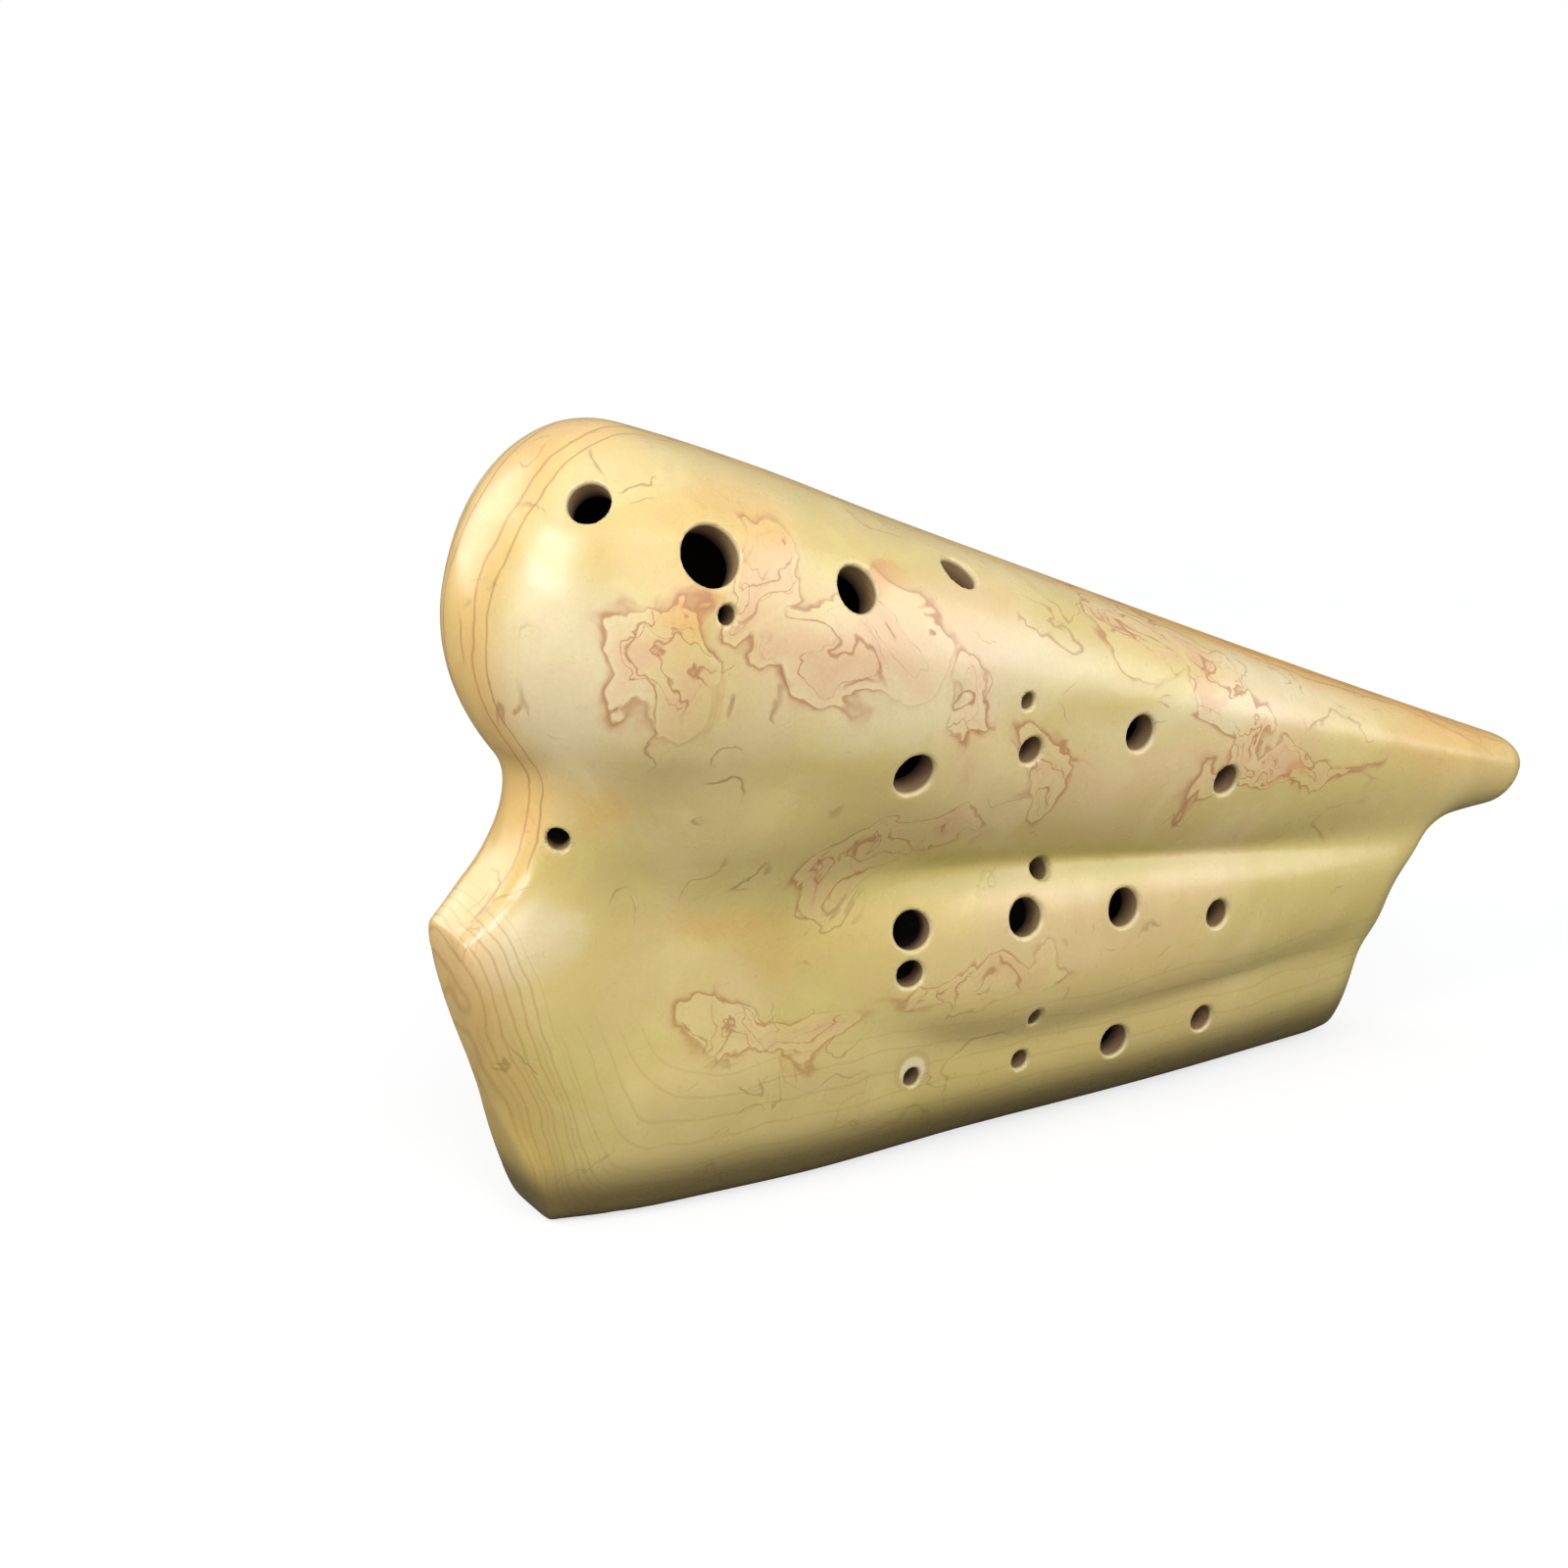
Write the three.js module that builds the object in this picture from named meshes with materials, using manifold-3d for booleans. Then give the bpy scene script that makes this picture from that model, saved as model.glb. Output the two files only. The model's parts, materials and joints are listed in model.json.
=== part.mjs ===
import * as THREE from "three";
import { mergeVertices } from "three/addons/utils/BufferGeometryUtils.js";
import Module from "manifold-3d";

// A triple ocarina of fired and burnished clay, standing on its flat lower edge.
// X runs from the mouthpiece to the tail, Y from the finger side to the thumb side, and Z is up.
// Three chambers are stepped one below the other. Each is pressed in two half shells that meet on
// the plane y = 0, and each lower chamber is a trough that leans on the one above it.
// The mouthpiece block holds three windways, which fan out so that each meets its own chamber.
// Sizes are in millimetres.

const wasm = await Module();
wasm.setup();

// Clay, luted joints and how far a cutting solid runs past what it cuts
const wall = 4.5;
const partition = 3.5;
const joint = 0.3;
const groundFlat = 1.2;
const overrun = 70;
const weld = 0.0001;

// Where the terraces meet, measured from the flat base and from the corner of the mouthpiece
const partitionHeight = 19.2;
const creaseHeight = 48;
const neckEnd = 46;

// Chamber 3, the lowest and shortest
const chamber3AxisHeight = 15.4;
const chamber3 = {
  start: { x: 6, z: chamber3AxisHeight },
  slopeDegrees: 0,
  length: 142.3,
  rise: 9,
  drop: chamber3AxisHeight + groundFlat,
  depth: 13,
  startRounds: { rise: 4, drop: 3, depth: 8 },
  endRounds: { rise: 3, drop: 2, depth: 8 },
  leanDegrees: [[0, 104], [0.5, 88], [1, 69]],
  riseShares: [[0, 1], [1, 0.78]],
  dropShares: [[0, 1], [1, 1]],
  depthShares: [[0, 0.85], [0.4, 1], [0.7, 0.88], [1, 0.54]],
  powers: [[0, 2.6], [1, 2.6]],
};

// Chamber 2, the middle terrace
const chamber2Belly = 14.8;
const chamber2 = {
  start: { x: 14, z: partitionHeight + chamber2Belly },
  slopeDegrees: -3.14,
  length: 140.5,
  rise: 14,
  drop: chamber2Belly + partition,
  depth: 16.5,
  startRounds: { rise: 4, drop: 4, depth: 8 },
  endRounds: { rise: 4, drop: 3, depth: 9 },
  leanDegrees: [[0, 100], [0.5, 88], [1, 60]],
  riseShares: [[0, 0.79], [0.5, 1], [1, 0.43]],
  dropShares: [[0, 0.93], [0.5, 0.96], [0.85, 0.77], [1, 0.66]],
  depthShares: [[0, 0.64], [0.15, 0.75], [0.32, 1], [0.6, 0.92], [0.85, 0.7], [1, 0.52]],
  powers: [[0, 2.2], [0.4, 2.8], [1, 2.8]],
};

// Chamber 1, the large upper one, from the round head to the pointed tail
const chamber1Rise = 56.2;
const chamber1 = {
  start: { x: -6.8, z: chamber2.start.z + chamber1Rise },
  slopeDegrees: -15.36,
  length: 194,
  rise: 24.4,
  drop: 30.5,
  depth: 25.5,
  startRounds: { rise: 18, drop: 27, depth: 24 },
  endRounds: { rise: 6, drop: 6, depth: 7 },
  leanDegrees: [[0, 75.5], [1, 75.5]],
  riseShares: [
    [0, 1], [0.1, 0.99], [0.2, 0.92], [0.3, 0.81], [0.45, 0.66], [0.7, 0.42], [0.88, 0.26], [1, 0.16],
  ],
  dropShares: [
    [0, 0.85], [0.1, 0.92], [0.22, 1], [0.35, 0.99], [0.5, 0.92], [0.7, 0.75], [0.85, 0.5], [0.95, 0.28],
    [1, 0.18],
  ],
  depthShares: [[0, 0.9], [0.12, 1], [0.3, 0.98], [0.5, 0.82], [0.7, 0.63], [0.88, 0.41], [1, 0.24]],
  powers: [[0, 2.2], [0.5, 2.2], [1, 2.1]],
};

// Mouthpiece block, a slab whose mouth edge leans back and whose lip is rounded
const mouthLeanDegrees = 17.1;
const mouthAxisHeight = 21.1;
const mouthpiece = {
  start: {
    x: -mouthAxisHeight * Math.tan(THREE.MathUtils.degToRad(mouthLeanDegrees)),
    z: mouthAxisHeight,
  },
  slopeDegrees: 0,
  length: 80,
  rise: 50,
  drop: 23.4,
  depth: 12.4,
  startRounds: { rise: 3, drop: 1.5, depth: 9 },
  endRounds: { rise: 0, drop: 0, depth: 0 },
  leanDegrees: [[0, 90 + mouthLeanDegrees], [0.36, 90 + mouthLeanDegrees], [0.73, 98], [1, 95]],
  riseShares: [[0, 0.43], [0.11, 0.56], [0.18, 0.66], [0.24, 0.78], [0.305, 0.96], [0.44, 1], [1, 0.8]],
  dropShares: [[0, 1], [0.73, 0.97], [1, 0.9]],
  depthShares: [[0, 0.81], [0.22, 0.92], [0.6, 1], [0.8, 0.8], [1, 0.35]],
  powers: [[0, 5], [0.29, 4.5], [0.73, 3], [1, 2.2]],
};

// Saddle of clay on the finger side, which fills the hollow between the head, the mouthpiece and
// chamber 2. Its sections are nearly straight below the axis, which runs inside chamber 1.
const saddle = {
  start: { x: 2.5, z: 62 },
  slopeDegrees: 0,
  length: 58,
  rise: 8,
  drop: 42,
  depth: 23.1,
  startRounds: { rise: 5, drop: 5, depth: 8 },
  endRounds: { rise: 4, drop: 8, depth: 11 },
  leanDegrees: [[0, 90], [1, 90]],
  riseShares: [[0, 1], [1, 0.8]],
  dropShares: [[0, 0.86], [0.16, 0.86], [0.27, 0.93], [0.4, 1], [0.5, 1], [0.68, 0.83], [0.78, 0.79], [1, 0.75]],
  depthShares: [[0, 0.8], [0.16, 0.8], [0.27, 0.88], [0.37, 0.93], [0.47, 0.965], [0.68, 0.985], [1, 0.97]],
  powers: [[0, 1.15], [1, 1.15]],
};

// Windways and their windows, whose far edges are the sounding edges
const windwayLength = 32;
const windwayPitch = 12.5;
const windwayHeight = 1.6;
const windwayEntry = 5.6;
const windwayExit = 6.6;
const roofSetback = 12;
const roofSeat = 1.5;
const windowLength = 5.5;
const labiumLength = 9;
const labiumLevel = 7.2;
const labiumEdge = 0.6;
const labiumRampDegrees = 27;
const voices = {
  upper: { name: "1", width: 11, offsetShare: 1, slopeDegrees: 20 },
  middle: { name: "2", width: 9, offsetShare: 0, slopeDegrees: 12 },
  lower: { name: "3", width: 8, offsetShare: -1, slopeDegrees: 4 },
};

// Duct from the first windway up through the neck into the head of chamber 1
const ductDepth = 9;
const ductReach = 16;
const ductRise = 26;

// Holes, each at a share of its chamber's length and an angle round its section: 0 is the middle of
// the finger side, 90 the top and 180 the middle of the thumb side.
const fingerHoles1 = {
  first: { alongShare: 0.044, aroundDegrees: 41.6, bore: 5.7 },
  second: { alongShare: 0.117, aroundDegrees: 26.3, bore: 8.3 },
  third: { alongShare: 0.131, aroundDegrees: 9.1, bore: 2.6 },
  fourth: { alongShare: 0.234, aroundDegrees: 27.5, bore: 6.6 },
  fifth: { alongShare: 0.336, aroundDegrees: 50.4, bore: 5.7 },
  sixth: { alongShare: 0.314, aroundDegrees: -22.8, bore: 6.2 },
  seventh: { alongShare: 0.41, aroundDegrees: -12, bore: 4 },
  eighth: { alongShare: 0.394, aroundDegrees: -0.3, bore: 2.4 },
  ninth: { alongShare: 0.512, aroundDegrees: -4, bore: 5.3 },
  tenth: { alongShare: 0.617, aroundDegrees: -15.7, bore: 4.6 },
};
const thumbHoles1 = {
  first: { alongShare: 0.12, aroundDegrees: 184, bore: 9 },
  second: { alongShare: 0.36, aroundDegrees: 196, bore: 6.5 },
};
const fingerHoles2 = {
  first: { alongShare: 0.284, aroundDegrees: 14, bore: 5.7 },
  second: { alongShare: 0.278, aroundDegrees: -3, bore: 4.1 },
  third: { alongShare: 0.415, aroundDegrees: 12.2, bore: 5.7 },
  fourth: { alongShare: 0.453, aroundDegrees: 36, bore: 3.3 },
  fifth: { alongShare: 0.542, aroundDegrees: 8.8, bore: 5.8 },
  sixth: { alongShare: 0.676, aroundDegrees: 0.1, bore: 4.3 },
};
const thumbHoles2 = {
  first: { alongShare: 0.36, aroundDegrees: 177, bore: 6 },
};
const fingerHoles3 = {
  first: { alongShare: 0.345, aroundDegrees: -4.3, bore: 2.9 },
  second: { alongShare: 0.481, aroundDegrees: -8, bore: 3 },
  third: { alongShare: 0.491, aroundDegrees: 15.4, bore: 2.3 },
  fourth: { alongShare: 0.608, aroundDegrees: -10.5, bore: 5.1 },
  fifth: { alongShare: 0.733, aroundDegrees: -11.1, bore: 4.1 },
};
const thumbHoles3 = {
  first: { alongShare: 0.42, aroundDegrees: 180, bore: 5 },
};
const drillShare = 1.9;
const boreSides = 16;

// Cord hole through the corner of the neck, bored at a slant
const cordHole = { alongShare: 0.252, aroundDegrees: 56.6, turnDegrees: 25, bore: 3.1 };

const materials = {
  mouthpiece: { color: 0xcdb978, roughness: 0.38, metalness: 0 },
  roof: { color: 0xc4ae6c, roughness: 0.42, metalness: 0 },
  chamber1: { color: 0xdccb8f, roughness: 0.34, metalness: 0 },
  chamber2: { color: 0xd2c184, roughness: 0.36, metalness: 0 },
  chamber3: { color: 0xc9b87c, roughness: 0.38, metalness: 0 },
};

// A smooth curve through a table of places along and their values.
function curveThrough(table) {
  const places = table.map((entry) => entry[0]);
  const values = table.map((entry) => entry[1]);
  const last = places.length - 1;
  const secants = places.slice(1).map((place, i) => (values[i + 1] - values[i]) / (place - places[i]));
  const slopes = places.map((place, i) => {
    if (i === 0) return secants[0];
    if (i === last) return secants[last - 1];
    const before = place - places[i - 1];
    const after = places[i + 1] - place;
    return (after * secants[i - 1] + before * secants[i]) / (before + after);
  });
  return (share) => {
    const at = THREE.MathUtils.clamp(share, places[0], places[last]);
    let i = 0;
    while (i < last - 1 && at >= places[i + 1]) i += 1;
    const step = places[i + 1] - places[i];
    const s = (at - places[i]) / step;
    const start = (2 * s ** 3 - 3 * s ** 2 + 1) * values[i] + (s ** 3 - 2 * s ** 2 + s) * step * slopes[i];
    const end = (3 * s ** 2 - 2 * s ** 3) * values[i + 1] + (s ** 3 - s ** 2) * step * slopes[i + 1];
    return start + end;
  };
}

// How much of a half size is left near an end that is rounded with the given radius.
function roundedShare(distance, radius) {
  if (radius <= 0) return 1;
  const missing = THREE.MathUtils.clamp(1 - distance / radius, 0, 1);
  return Math.sqrt(1 - missing ** 2);
}

// A form is a row of superelliptic sections along a sloping axis, all set in by the given inset.
function formed(form, inset) {
  const curves = {
    lean: curveThrough(form.leanDegrees),
    rise: curveThrough(form.riseShares),
    drop: curveThrough(form.dropShares),
    depth: curveThrough(form.depthShares),
    power: curveThrough(form.powers),
  };
  const slope = THREE.MathUtils.degToRad(form.slopeDegrees);
  const reach = (kind, station) => {
    const full = form[kind] * curves[kind](station / form.length) - inset;
    const fromStart = roundedShare(station - inset, Math.max(form.startRounds[kind] - inset, 0));
    const fromEnd = roundedShare(form.length - inset - station, Math.max(form.endRounds[kind] - inset, 0));
    return full * fromStart * fromEnd;
  };
  return (station, angle) => {
    const power = curves.power(station / form.length);
    const across = Math.cos(angle);
    const along = Math.sin(angle);
    const lean = THREE.MathUtils.degToRad(curves.lean(station / form.length));
    const y = -Math.sign(across) * Math.abs(across) ** (2 / power) * reach("depth", station);
    const height = Math.sign(along) * Math.abs(along) ** (2 / power) * reach(along > 0 ? "rise" : "drop", station);
    return new THREE.Vector3(
      form.start.x + station * Math.cos(slope) + height * Math.cos(lean),
      y,
      form.start.z + station * Math.sin(slope) + height * Math.sin(lean),
    );
  };
}

function solidFrom(geometry) {
  const bare = new THREE.BufferGeometry();
  bare.setAttribute("position", geometry.getAttribute("position"));
  bare.setIndex(geometry.getIndex());
  const merged = mergeVertices(bare, weld);
  const vertProperties = new Float32Array(merged.getAttribute("position").array);
  const triVerts = new Uint32Array(merged.getIndex().array);
  return new wasm.Manifold(new wasm.Mesh({ numProp: 3, vertProperties, triVerts }));
}

// The closed skin of a form, with rings closer together towards its two rounded ends.
function loft(form, rings, sides, inset = 0) {
  const pointAt = formed(form, inset);
  const margin = weld * overrun;
  const positions = [];
  const indices = [];
  const first = inset + margin;
  const span = form.length - 2 * first;
  for (let ring = 0; ring < rings; ring += 1) {
    const station = first + (span * (1 - Math.cos((Math.PI * ring) / (rings - 1)))) / 2;
    for (let side = 0; side < sides; side += 1) {
      positions.push(...pointAt(station, (2 * Math.PI * side) / sides).toArray());
    }
  }
  const startCentre = positions.length / 3;
  [first, first + span].forEach((station) => {
    const low = pointAt(station, -Math.PI / 2);
    const high = pointAt(station, Math.PI / 2);
    positions.push(...low.add(high).multiplyScalar(1 / 2).toArray());
  });
  for (let side = 0; side < sides; side += 1) {
    const next = (side + 1) % sides;
    for (let ring = 0; ring < rings - 1; ring += 1) {
      const here = ring * sides;
      const beyond = here + sides;
      indices.push(here + side, beyond + next, here + next, here + side, beyond + side, beyond + next);
    }
    const lastRing = (rings - 1) * sides;
    indices.push(startCentre, side, next);
    indices.push(startCentre + 1, lastRing + next, lastRing + side);
  }
  const geometry = new THREE.BufferGeometry();
  geometry.setAttribute("position", new THREE.Float32BufferAttribute(positions, 3));
  geometry.setIndex(indices);
  return solidFrom(geometry);
}

// A flat outline carried along the third axis of a frame, and the frame that stands it upright.
function extruded(outline, from, to, frame) {
  const shape = new THREE.Shape(outline.map(([across, high]) => new THREE.Vector2(across, high)));
  const geometry = new THREE.ExtrudeGeometry(shape, { depth: to - from, bevelEnabled: false });
  geometry.translate(0, 0, from);
  geometry.applyMatrix4(frame);
  return solidFrom(geometry);
}

function sideRegion(points) {
  const outline = points.map((point) => [point.x, point.z]);
  return extruded(outline, -overrun, overrun, new THREE.Matrix4().makeRotationX(Math.PI / 2));
}

function box(low, high, frame = new THREE.Matrix4()) {
  const geometry = new THREE.BoxGeometry(high[0] - low[0], high[1] - low[1], high[2] - low[2]);
  geometry.translate((low[0] + high[0]) / 2, (low[1] + high[1]) / 2, (low[2] + high[2]) / 2);
  geometry.applyMatrix4(frame);
  return solidFrom(geometry);
}

// A round cutter between two points, turned from the upright that cylinders are made on.
function drill(from, to, bore) {
  const way = to.clone().sub(from);
  const upright = new THREE.Vector3(0, 1, 0);
  const geometry = new THREE.CylinderGeometry(bore / 2, bore / 2, way.length(), boreSides);
  geometry.applyQuaternion(new THREE.Quaternion().setFromUnitVectors(upright, way.normalize()));
  geometry.translate((from.x + to.x) / 2, (from.y + to.y) / 2, (from.z + to.z) / 2);
  return solidFrom(geometry);
}

// Holes bored square to the skin of a form, through its wall and no further.
function bored(solid, form, holes) {
  const pointAt = formed(form, 0);
  return Object.values(holes).reduce((left, hole) => {
    const station = hole.alongShare * form.length;
    const angle = THREE.MathUtils.degToRad(hole.aroundDegrees);
    const place = pointAt(station, angle);
    const forward = pointAt(station + joint, angle).sub(pointAt(station - joint, angle));
    const around = pointAt(station, angle + joint / wall).sub(pointAt(station, angle - joint / wall));
    const outward = forward.cross(around).normalize();
    if (outward.y * place.y < 0) outward.negate();
    const mouth = place.clone().addScaledVector(outward, wall);
    const bottom = place.clone().addScaledVector(outward, -drillShare * wall);
    return left.subtract(drill(mouth, bottom, hole.bore));
  }, solid);
}

// A windway's level frame: X runs inward from the lip, Z across the windway and Y to the thumb side.
function levelFrame(voice) {
  const lean = THREE.MathUtils.degToRad(mouthLeanDegrees);
  const offset = voice.offsetShare * windwayPitch;
  const x = mouthpiece.start.x - offset * Math.sin(lean);
  const z = mouthpiece.start.z + offset * Math.cos(lean);
  const turn = new THREE.Matrix4().makeRotationY(-THREE.MathUtils.degToRad(voice.slopeDegrees));
  return new THREE.Matrix4().makeTranslation(x, 0, z).multiply(turn);
}

// The same frame set on the windway's floor, which climbs towards the thumb side.
function floorFrame(voice) {
  const climb = Math.atan((windwayExit - windwayEntry) / windwayLength);
  const floor = new THREE.Matrix4().makeTranslation(0, windwayEntry, 0);
  return levelFrame(voice).multiply(floor).multiply(new THREE.Matrix4().makeRotationZ(climb));
}

function inWindway(voice, along, across) {
  return new THREE.Vector3(along, 0, across).applyMatrix4(levelFrame(voice));
}

function halfSeat(voice) {
  return voice.width / 2 + roofSeat;
}

// The seam between the block and the chambers, square to each windway where that one ends.
function blockSeam(setOff) {
  const ends = [voices.lower, voices.middle, voices.upper].flatMap((voice) => [
    inWindway(voice, windwayLength + setOff, -halfSeat(voice)),
    inWindway(voice, windwayLength + setOff, halfSeat(voice)),
  ]);
  const bottom = new THREE.Vector3(ends[0].x, 0, -overrun);
  return [bottom, ...ends, inWindway(voices.upper, windwayLength + setOff, overrun)];
}

// Where the seam between two chambers' necks leaves the block.
function neckSeamStart(upper, lower) {
  const fromUpper = inWindway(upper, windwayLength + joint, -halfSeat(upper));
  const fromLower = inWindway(lower, windwayLength + joint, halfSeat(lower));
  return fromUpper.add(fromLower).multiplyScalar(1 / 2);
}

function moved(point, x, z) {
  return new THREE.Vector3(point.x + x, 0, point.z + z);
}

const far = chamber1.length + overrun;
const seam12 = [neckSeamStart(voices.upper, voices.middle), new THREE.Vector3(neckEnd, 0, creaseHeight)];
const seam23 = [neckSeamStart(voices.middle, voices.lower), new THREE.Vector3(neckEnd, 0, partitionHeight)];

// Regions of the side view that belong to the block and to each chamber
function blockRegion() {
  const corners = [new THREE.Vector3(-far, 0, far), new THREE.Vector3(-far, 0, -overrun)];
  return sideRegion([...blockSeam(0), ...corners]);
}

function neckRegion1() {
  const [low, high, top] = blockSeam(joint).slice(-3);
  return sideRegion([...seam12, new THREE.Vector3(neckEnd, 0, top.z), top, high, low]);
}

function region2() {
  const [low, high] = blockSeam(joint).slice(3, 5);
  const floor = [...seam23, new THREE.Vector3(far, 0, partitionHeight)];
  const ceiling = [...seam12].reverse().map((point) => moved(point, joint, -joint));
  const corners = [new THREE.Vector3(far, 0, far), new THREE.Vector3(ceiling[0].x, 0, far)];
  return sideRegion([...floor, ...corners, ...ceiling, high, low]);
}

// The room in chamber 2, over its floor and under the neck of chamber 1.
function room2() {
  const floor = partitionHeight + partition;
  const [start, end] = [moved(seam12[0], -wall, -wall), moved(seam12[1], 0, -wall)];
  const right = [new THREE.Vector3(far, 0, floor), new THREE.Vector3(far, 0, far)];
  return sideRegion([new THREE.Vector3(start.x, 0, floor), ...right, new THREE.Vector3(end.x, 0, far), end, start]);
}

function region3() {
  const [bottom, low, high] = blockSeam(joint).slice(0, 3);
  const ceiling = [new THREE.Vector3(far, 0, partitionHeight), seam23[1], seam23[0]];
  const corner = new THREE.Vector3(far, 0, -overrun);
  return sideRegion([bottom, corner, ...ceiling.map((point) => moved(point, 0, -joint)), high, low]);
}

// A window runs from the end of its windway, and its far edge is ramped down to a thin sounding edge.
function windowCut(voice) {
  const frame = levelFrame(voice);
  const half = voice.width / 2;
  const edge = windwayLength + windowLength;
  const top = labiumLevel + labiumEdge;
  const climb = labiumLength * Math.tan(THREE.MathUtils.degToRad(labiumRampDegrees));
  const opening = box([windwayLength, labiumLevel - wall, -half], [edge, overrun, half], frame);
  const slope = [[edge - joint, top], [edge, top], [edge + labiumLength, top + climb]];
  const ramp = [...slope, [edge + labiumLength, overrun], [edge - joint, overrun]];
  return opening.add(extruded(ramp, -half, half, frame));
}

// Clay left under the ramp, so that the sounding edge is level with its windway.
function labiumClay(voice) {
  const edge = windwayLength + windowLength;
  return box([edge, labiumLevel, -halfSeat(voice)], [edge + labiumLength, overrun, halfSeat(voice)], levelFrame(voice));
}

function cavity1() {
  const frame = levelFrame(voices.upper);
  const throatEnd = windwayLength + windowLength + labiumLength;
  const half = voices.upper.width / 2;
  const throat = box([windwayLength - wall, -ductDepth, -half], [throatEnd, labiumLevel, half], frame);
  const duct = box([windwayLength + wall, -ductDepth, 0], [windwayLength + ductReach, labiumLevel, ductRise], frame);
  return loft(chamber1, 20, 24, wall).add(throat).add(duct).subtract(labiumClay(voices.upper));
}

function cavity2() {
  return loft(chamber2, 14, 20, wall).intersect(room2()).subtract(labiumClay(voices.middle));
}

function cavity3() {
  return loft(chamber3, 12, 20, wall).subtract(labiumClay(voices.lower));
}

function mouthpieceBlock(skin, cleared) {
  const blank = skin.intersect(blockRegion()).intersect(aboveBase).subtract(cleared);
  const slotted = Object.values(voices).reduce((left, voice) => {
    const half = voice.width / 2;
    const seat = halfSeat(voice) + joint;
    const end = windwayLength + wall;
    const channel = box([-wall, 0, -half], [end, windwayHeight, half], floorFrame(voice));
    const rebate = box([roofSetback - joint, windwayHeight - joint, -seat], [end, overrun, seat], floorFrame(voice));
    return left.subtract(channel).subtract(rebate);
  }, blank);
  const place = formed(mouthpiece, 0)(
    cordHole.alongShare * mouthpiece.length,
    THREE.MathUtils.degToRad(cordHole.aroundDegrees),
  );
  const turn = THREE.MathUtils.degToRad(cordHole.turnDegrees);
  const through = new THREE.Vector3(Math.sin(turn), Math.cos(turn), 0).multiplyScalar(overrun);
  return slotted.subtract(drill(place.clone().sub(through), place.clone().add(through), cordHole.bore));
}

function windwayRoof(voice, skin, cleared) {
  const seat = halfSeat(voice);
  const strip = box([roofSetback, windwayHeight, -seat], [windwayLength + wall, overrun, seat], floorFrame(voice));
  return skin.intersect(strip).intersect(blockRegion()).subtract(cleared);
}

// A mesh is built about the seat of its group, which puts it back in place.
function meshFrom(solid, name, look, seat) {
  const { vertProperties, triVerts } = solid.getMesh();
  const geometry = new THREE.BufferGeometry();
  geometry.setAttribute("position", new THREE.BufferAttribute(vertProperties, 3));
  geometry.setIndex(new THREE.BufferAttribute(triVerts, 1));
  geometry.translate(-seat.x, 0, -seat.z);
  geometry.computeVertexNormals();
  const mesh = new THREE.Mesh(geometry, new THREE.MeshStandardMaterial(look));
  mesh.name = name;
  return mesh;
}

function groupAt(seat, parts) {
  const group = new THREE.Group();
  group.position.set(seat.x, 0, seat.z);
  parts.forEach(([solid, name, look]) => group.add(meshFrom(solid, name, look, seat)));
  return group;
}

function halves(body, name, look, form, fingerHoles, thumbHoles, voice) {
  const front = bored(body.intersect(fingerSide), form, fingerHoles);
  const back = bored(body.intersect(thumbSide), form, thumbHoles).subtract(windowCut(voice));
  return [[front, `${name}_front_shell`, look], [back, `${name}_back_shell`, look]];
}

const aboveBase = box([-far, -far, 0], [far, far, far]);
const fingerSide = box([-far, -far, 0], [far, 0, far]);
const thumbSide = box([-far, 0, 0], [far, far, far]);

const blockSkin = loft(mouthpiece, 26, 36).add(loft(saddle, 18, 28).intersect(fingerSide));
const bottomSkin = loft(chamber3, 18, 32).add(blockSkin);
const lowerSkin = loft(chamber2, 22, 32).add(bottomSkin);
const upperSkin = loft(chamber1, 30, 36);
const clearOfUpper = loft(chamber1, 30, 36, -joint);

const body1 = upperSkin.add(lowerSkin.intersect(neckRegion1())).subtract(cavity1());
const body2 = lowerSkin.intersect(region2()).subtract(clearOfUpper).subtract(cavity2());
const body3 = bottomSkin.intersect(region3()).subtract(cavity3());

const block = mouthpieceBlock(blockSkin, clearOfUpper);
const roofs = Object.values(voices).map((voice) => [
  windwayRoof(voice, blockSkin, clearOfUpper),
  `windway_roof_${voice.name}`,
  materials.roof,
]);

const instrument = new THREE.Group();
instrument.add(groupAt(mouthpiece.start, [[block, "mouthpiece_block", materials.mouthpiece], ...roofs]));
instrument.add(
  groupAt(
    chamber1.start,
    halves(body1, "chamber_1", materials.chamber1, chamber1, fingerHoles1, thumbHoles1, voices.upper),
  ),
);
instrument.add(
  groupAt(
    chamber2.start,
    halves(body2, "chamber_2", materials.chamber2, chamber2, fingerHoles2, thumbHoles2, voices.middle),
  ),
);
instrument.add(
  groupAt(
    chamber3.start,
    halves(body3, "chamber_3", materials.chamber3, chamber3, fingerHoles3, thumbHoles3, voices.lower),
  ),
);

// The origin is under the middle of the whole instrument, on the surface that it stands on.
const bounds = new THREE.Box3().setFromObject(instrument);
const middle = bounds.getCenter(new THREE.Vector3());
instrument.position.set(-middle.x, -middle.y, -bounds.min.z);

const root = new THREE.Group();
root.add(instrument);

export default root;
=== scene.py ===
"""Looks of a triple ocarina in burnished, marbled clay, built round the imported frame.

The fired body is one seamless skin, so its surface is found as the zero level of a distance field in
millimetres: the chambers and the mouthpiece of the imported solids, blended into each other, hollowed, and
bored with their finger holes, thumb holes, windways and windows. Only the rounding of the lip's end and
the places of two finger holes differ a little from the solids, towards the photograph.
"""

import json
import math

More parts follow.
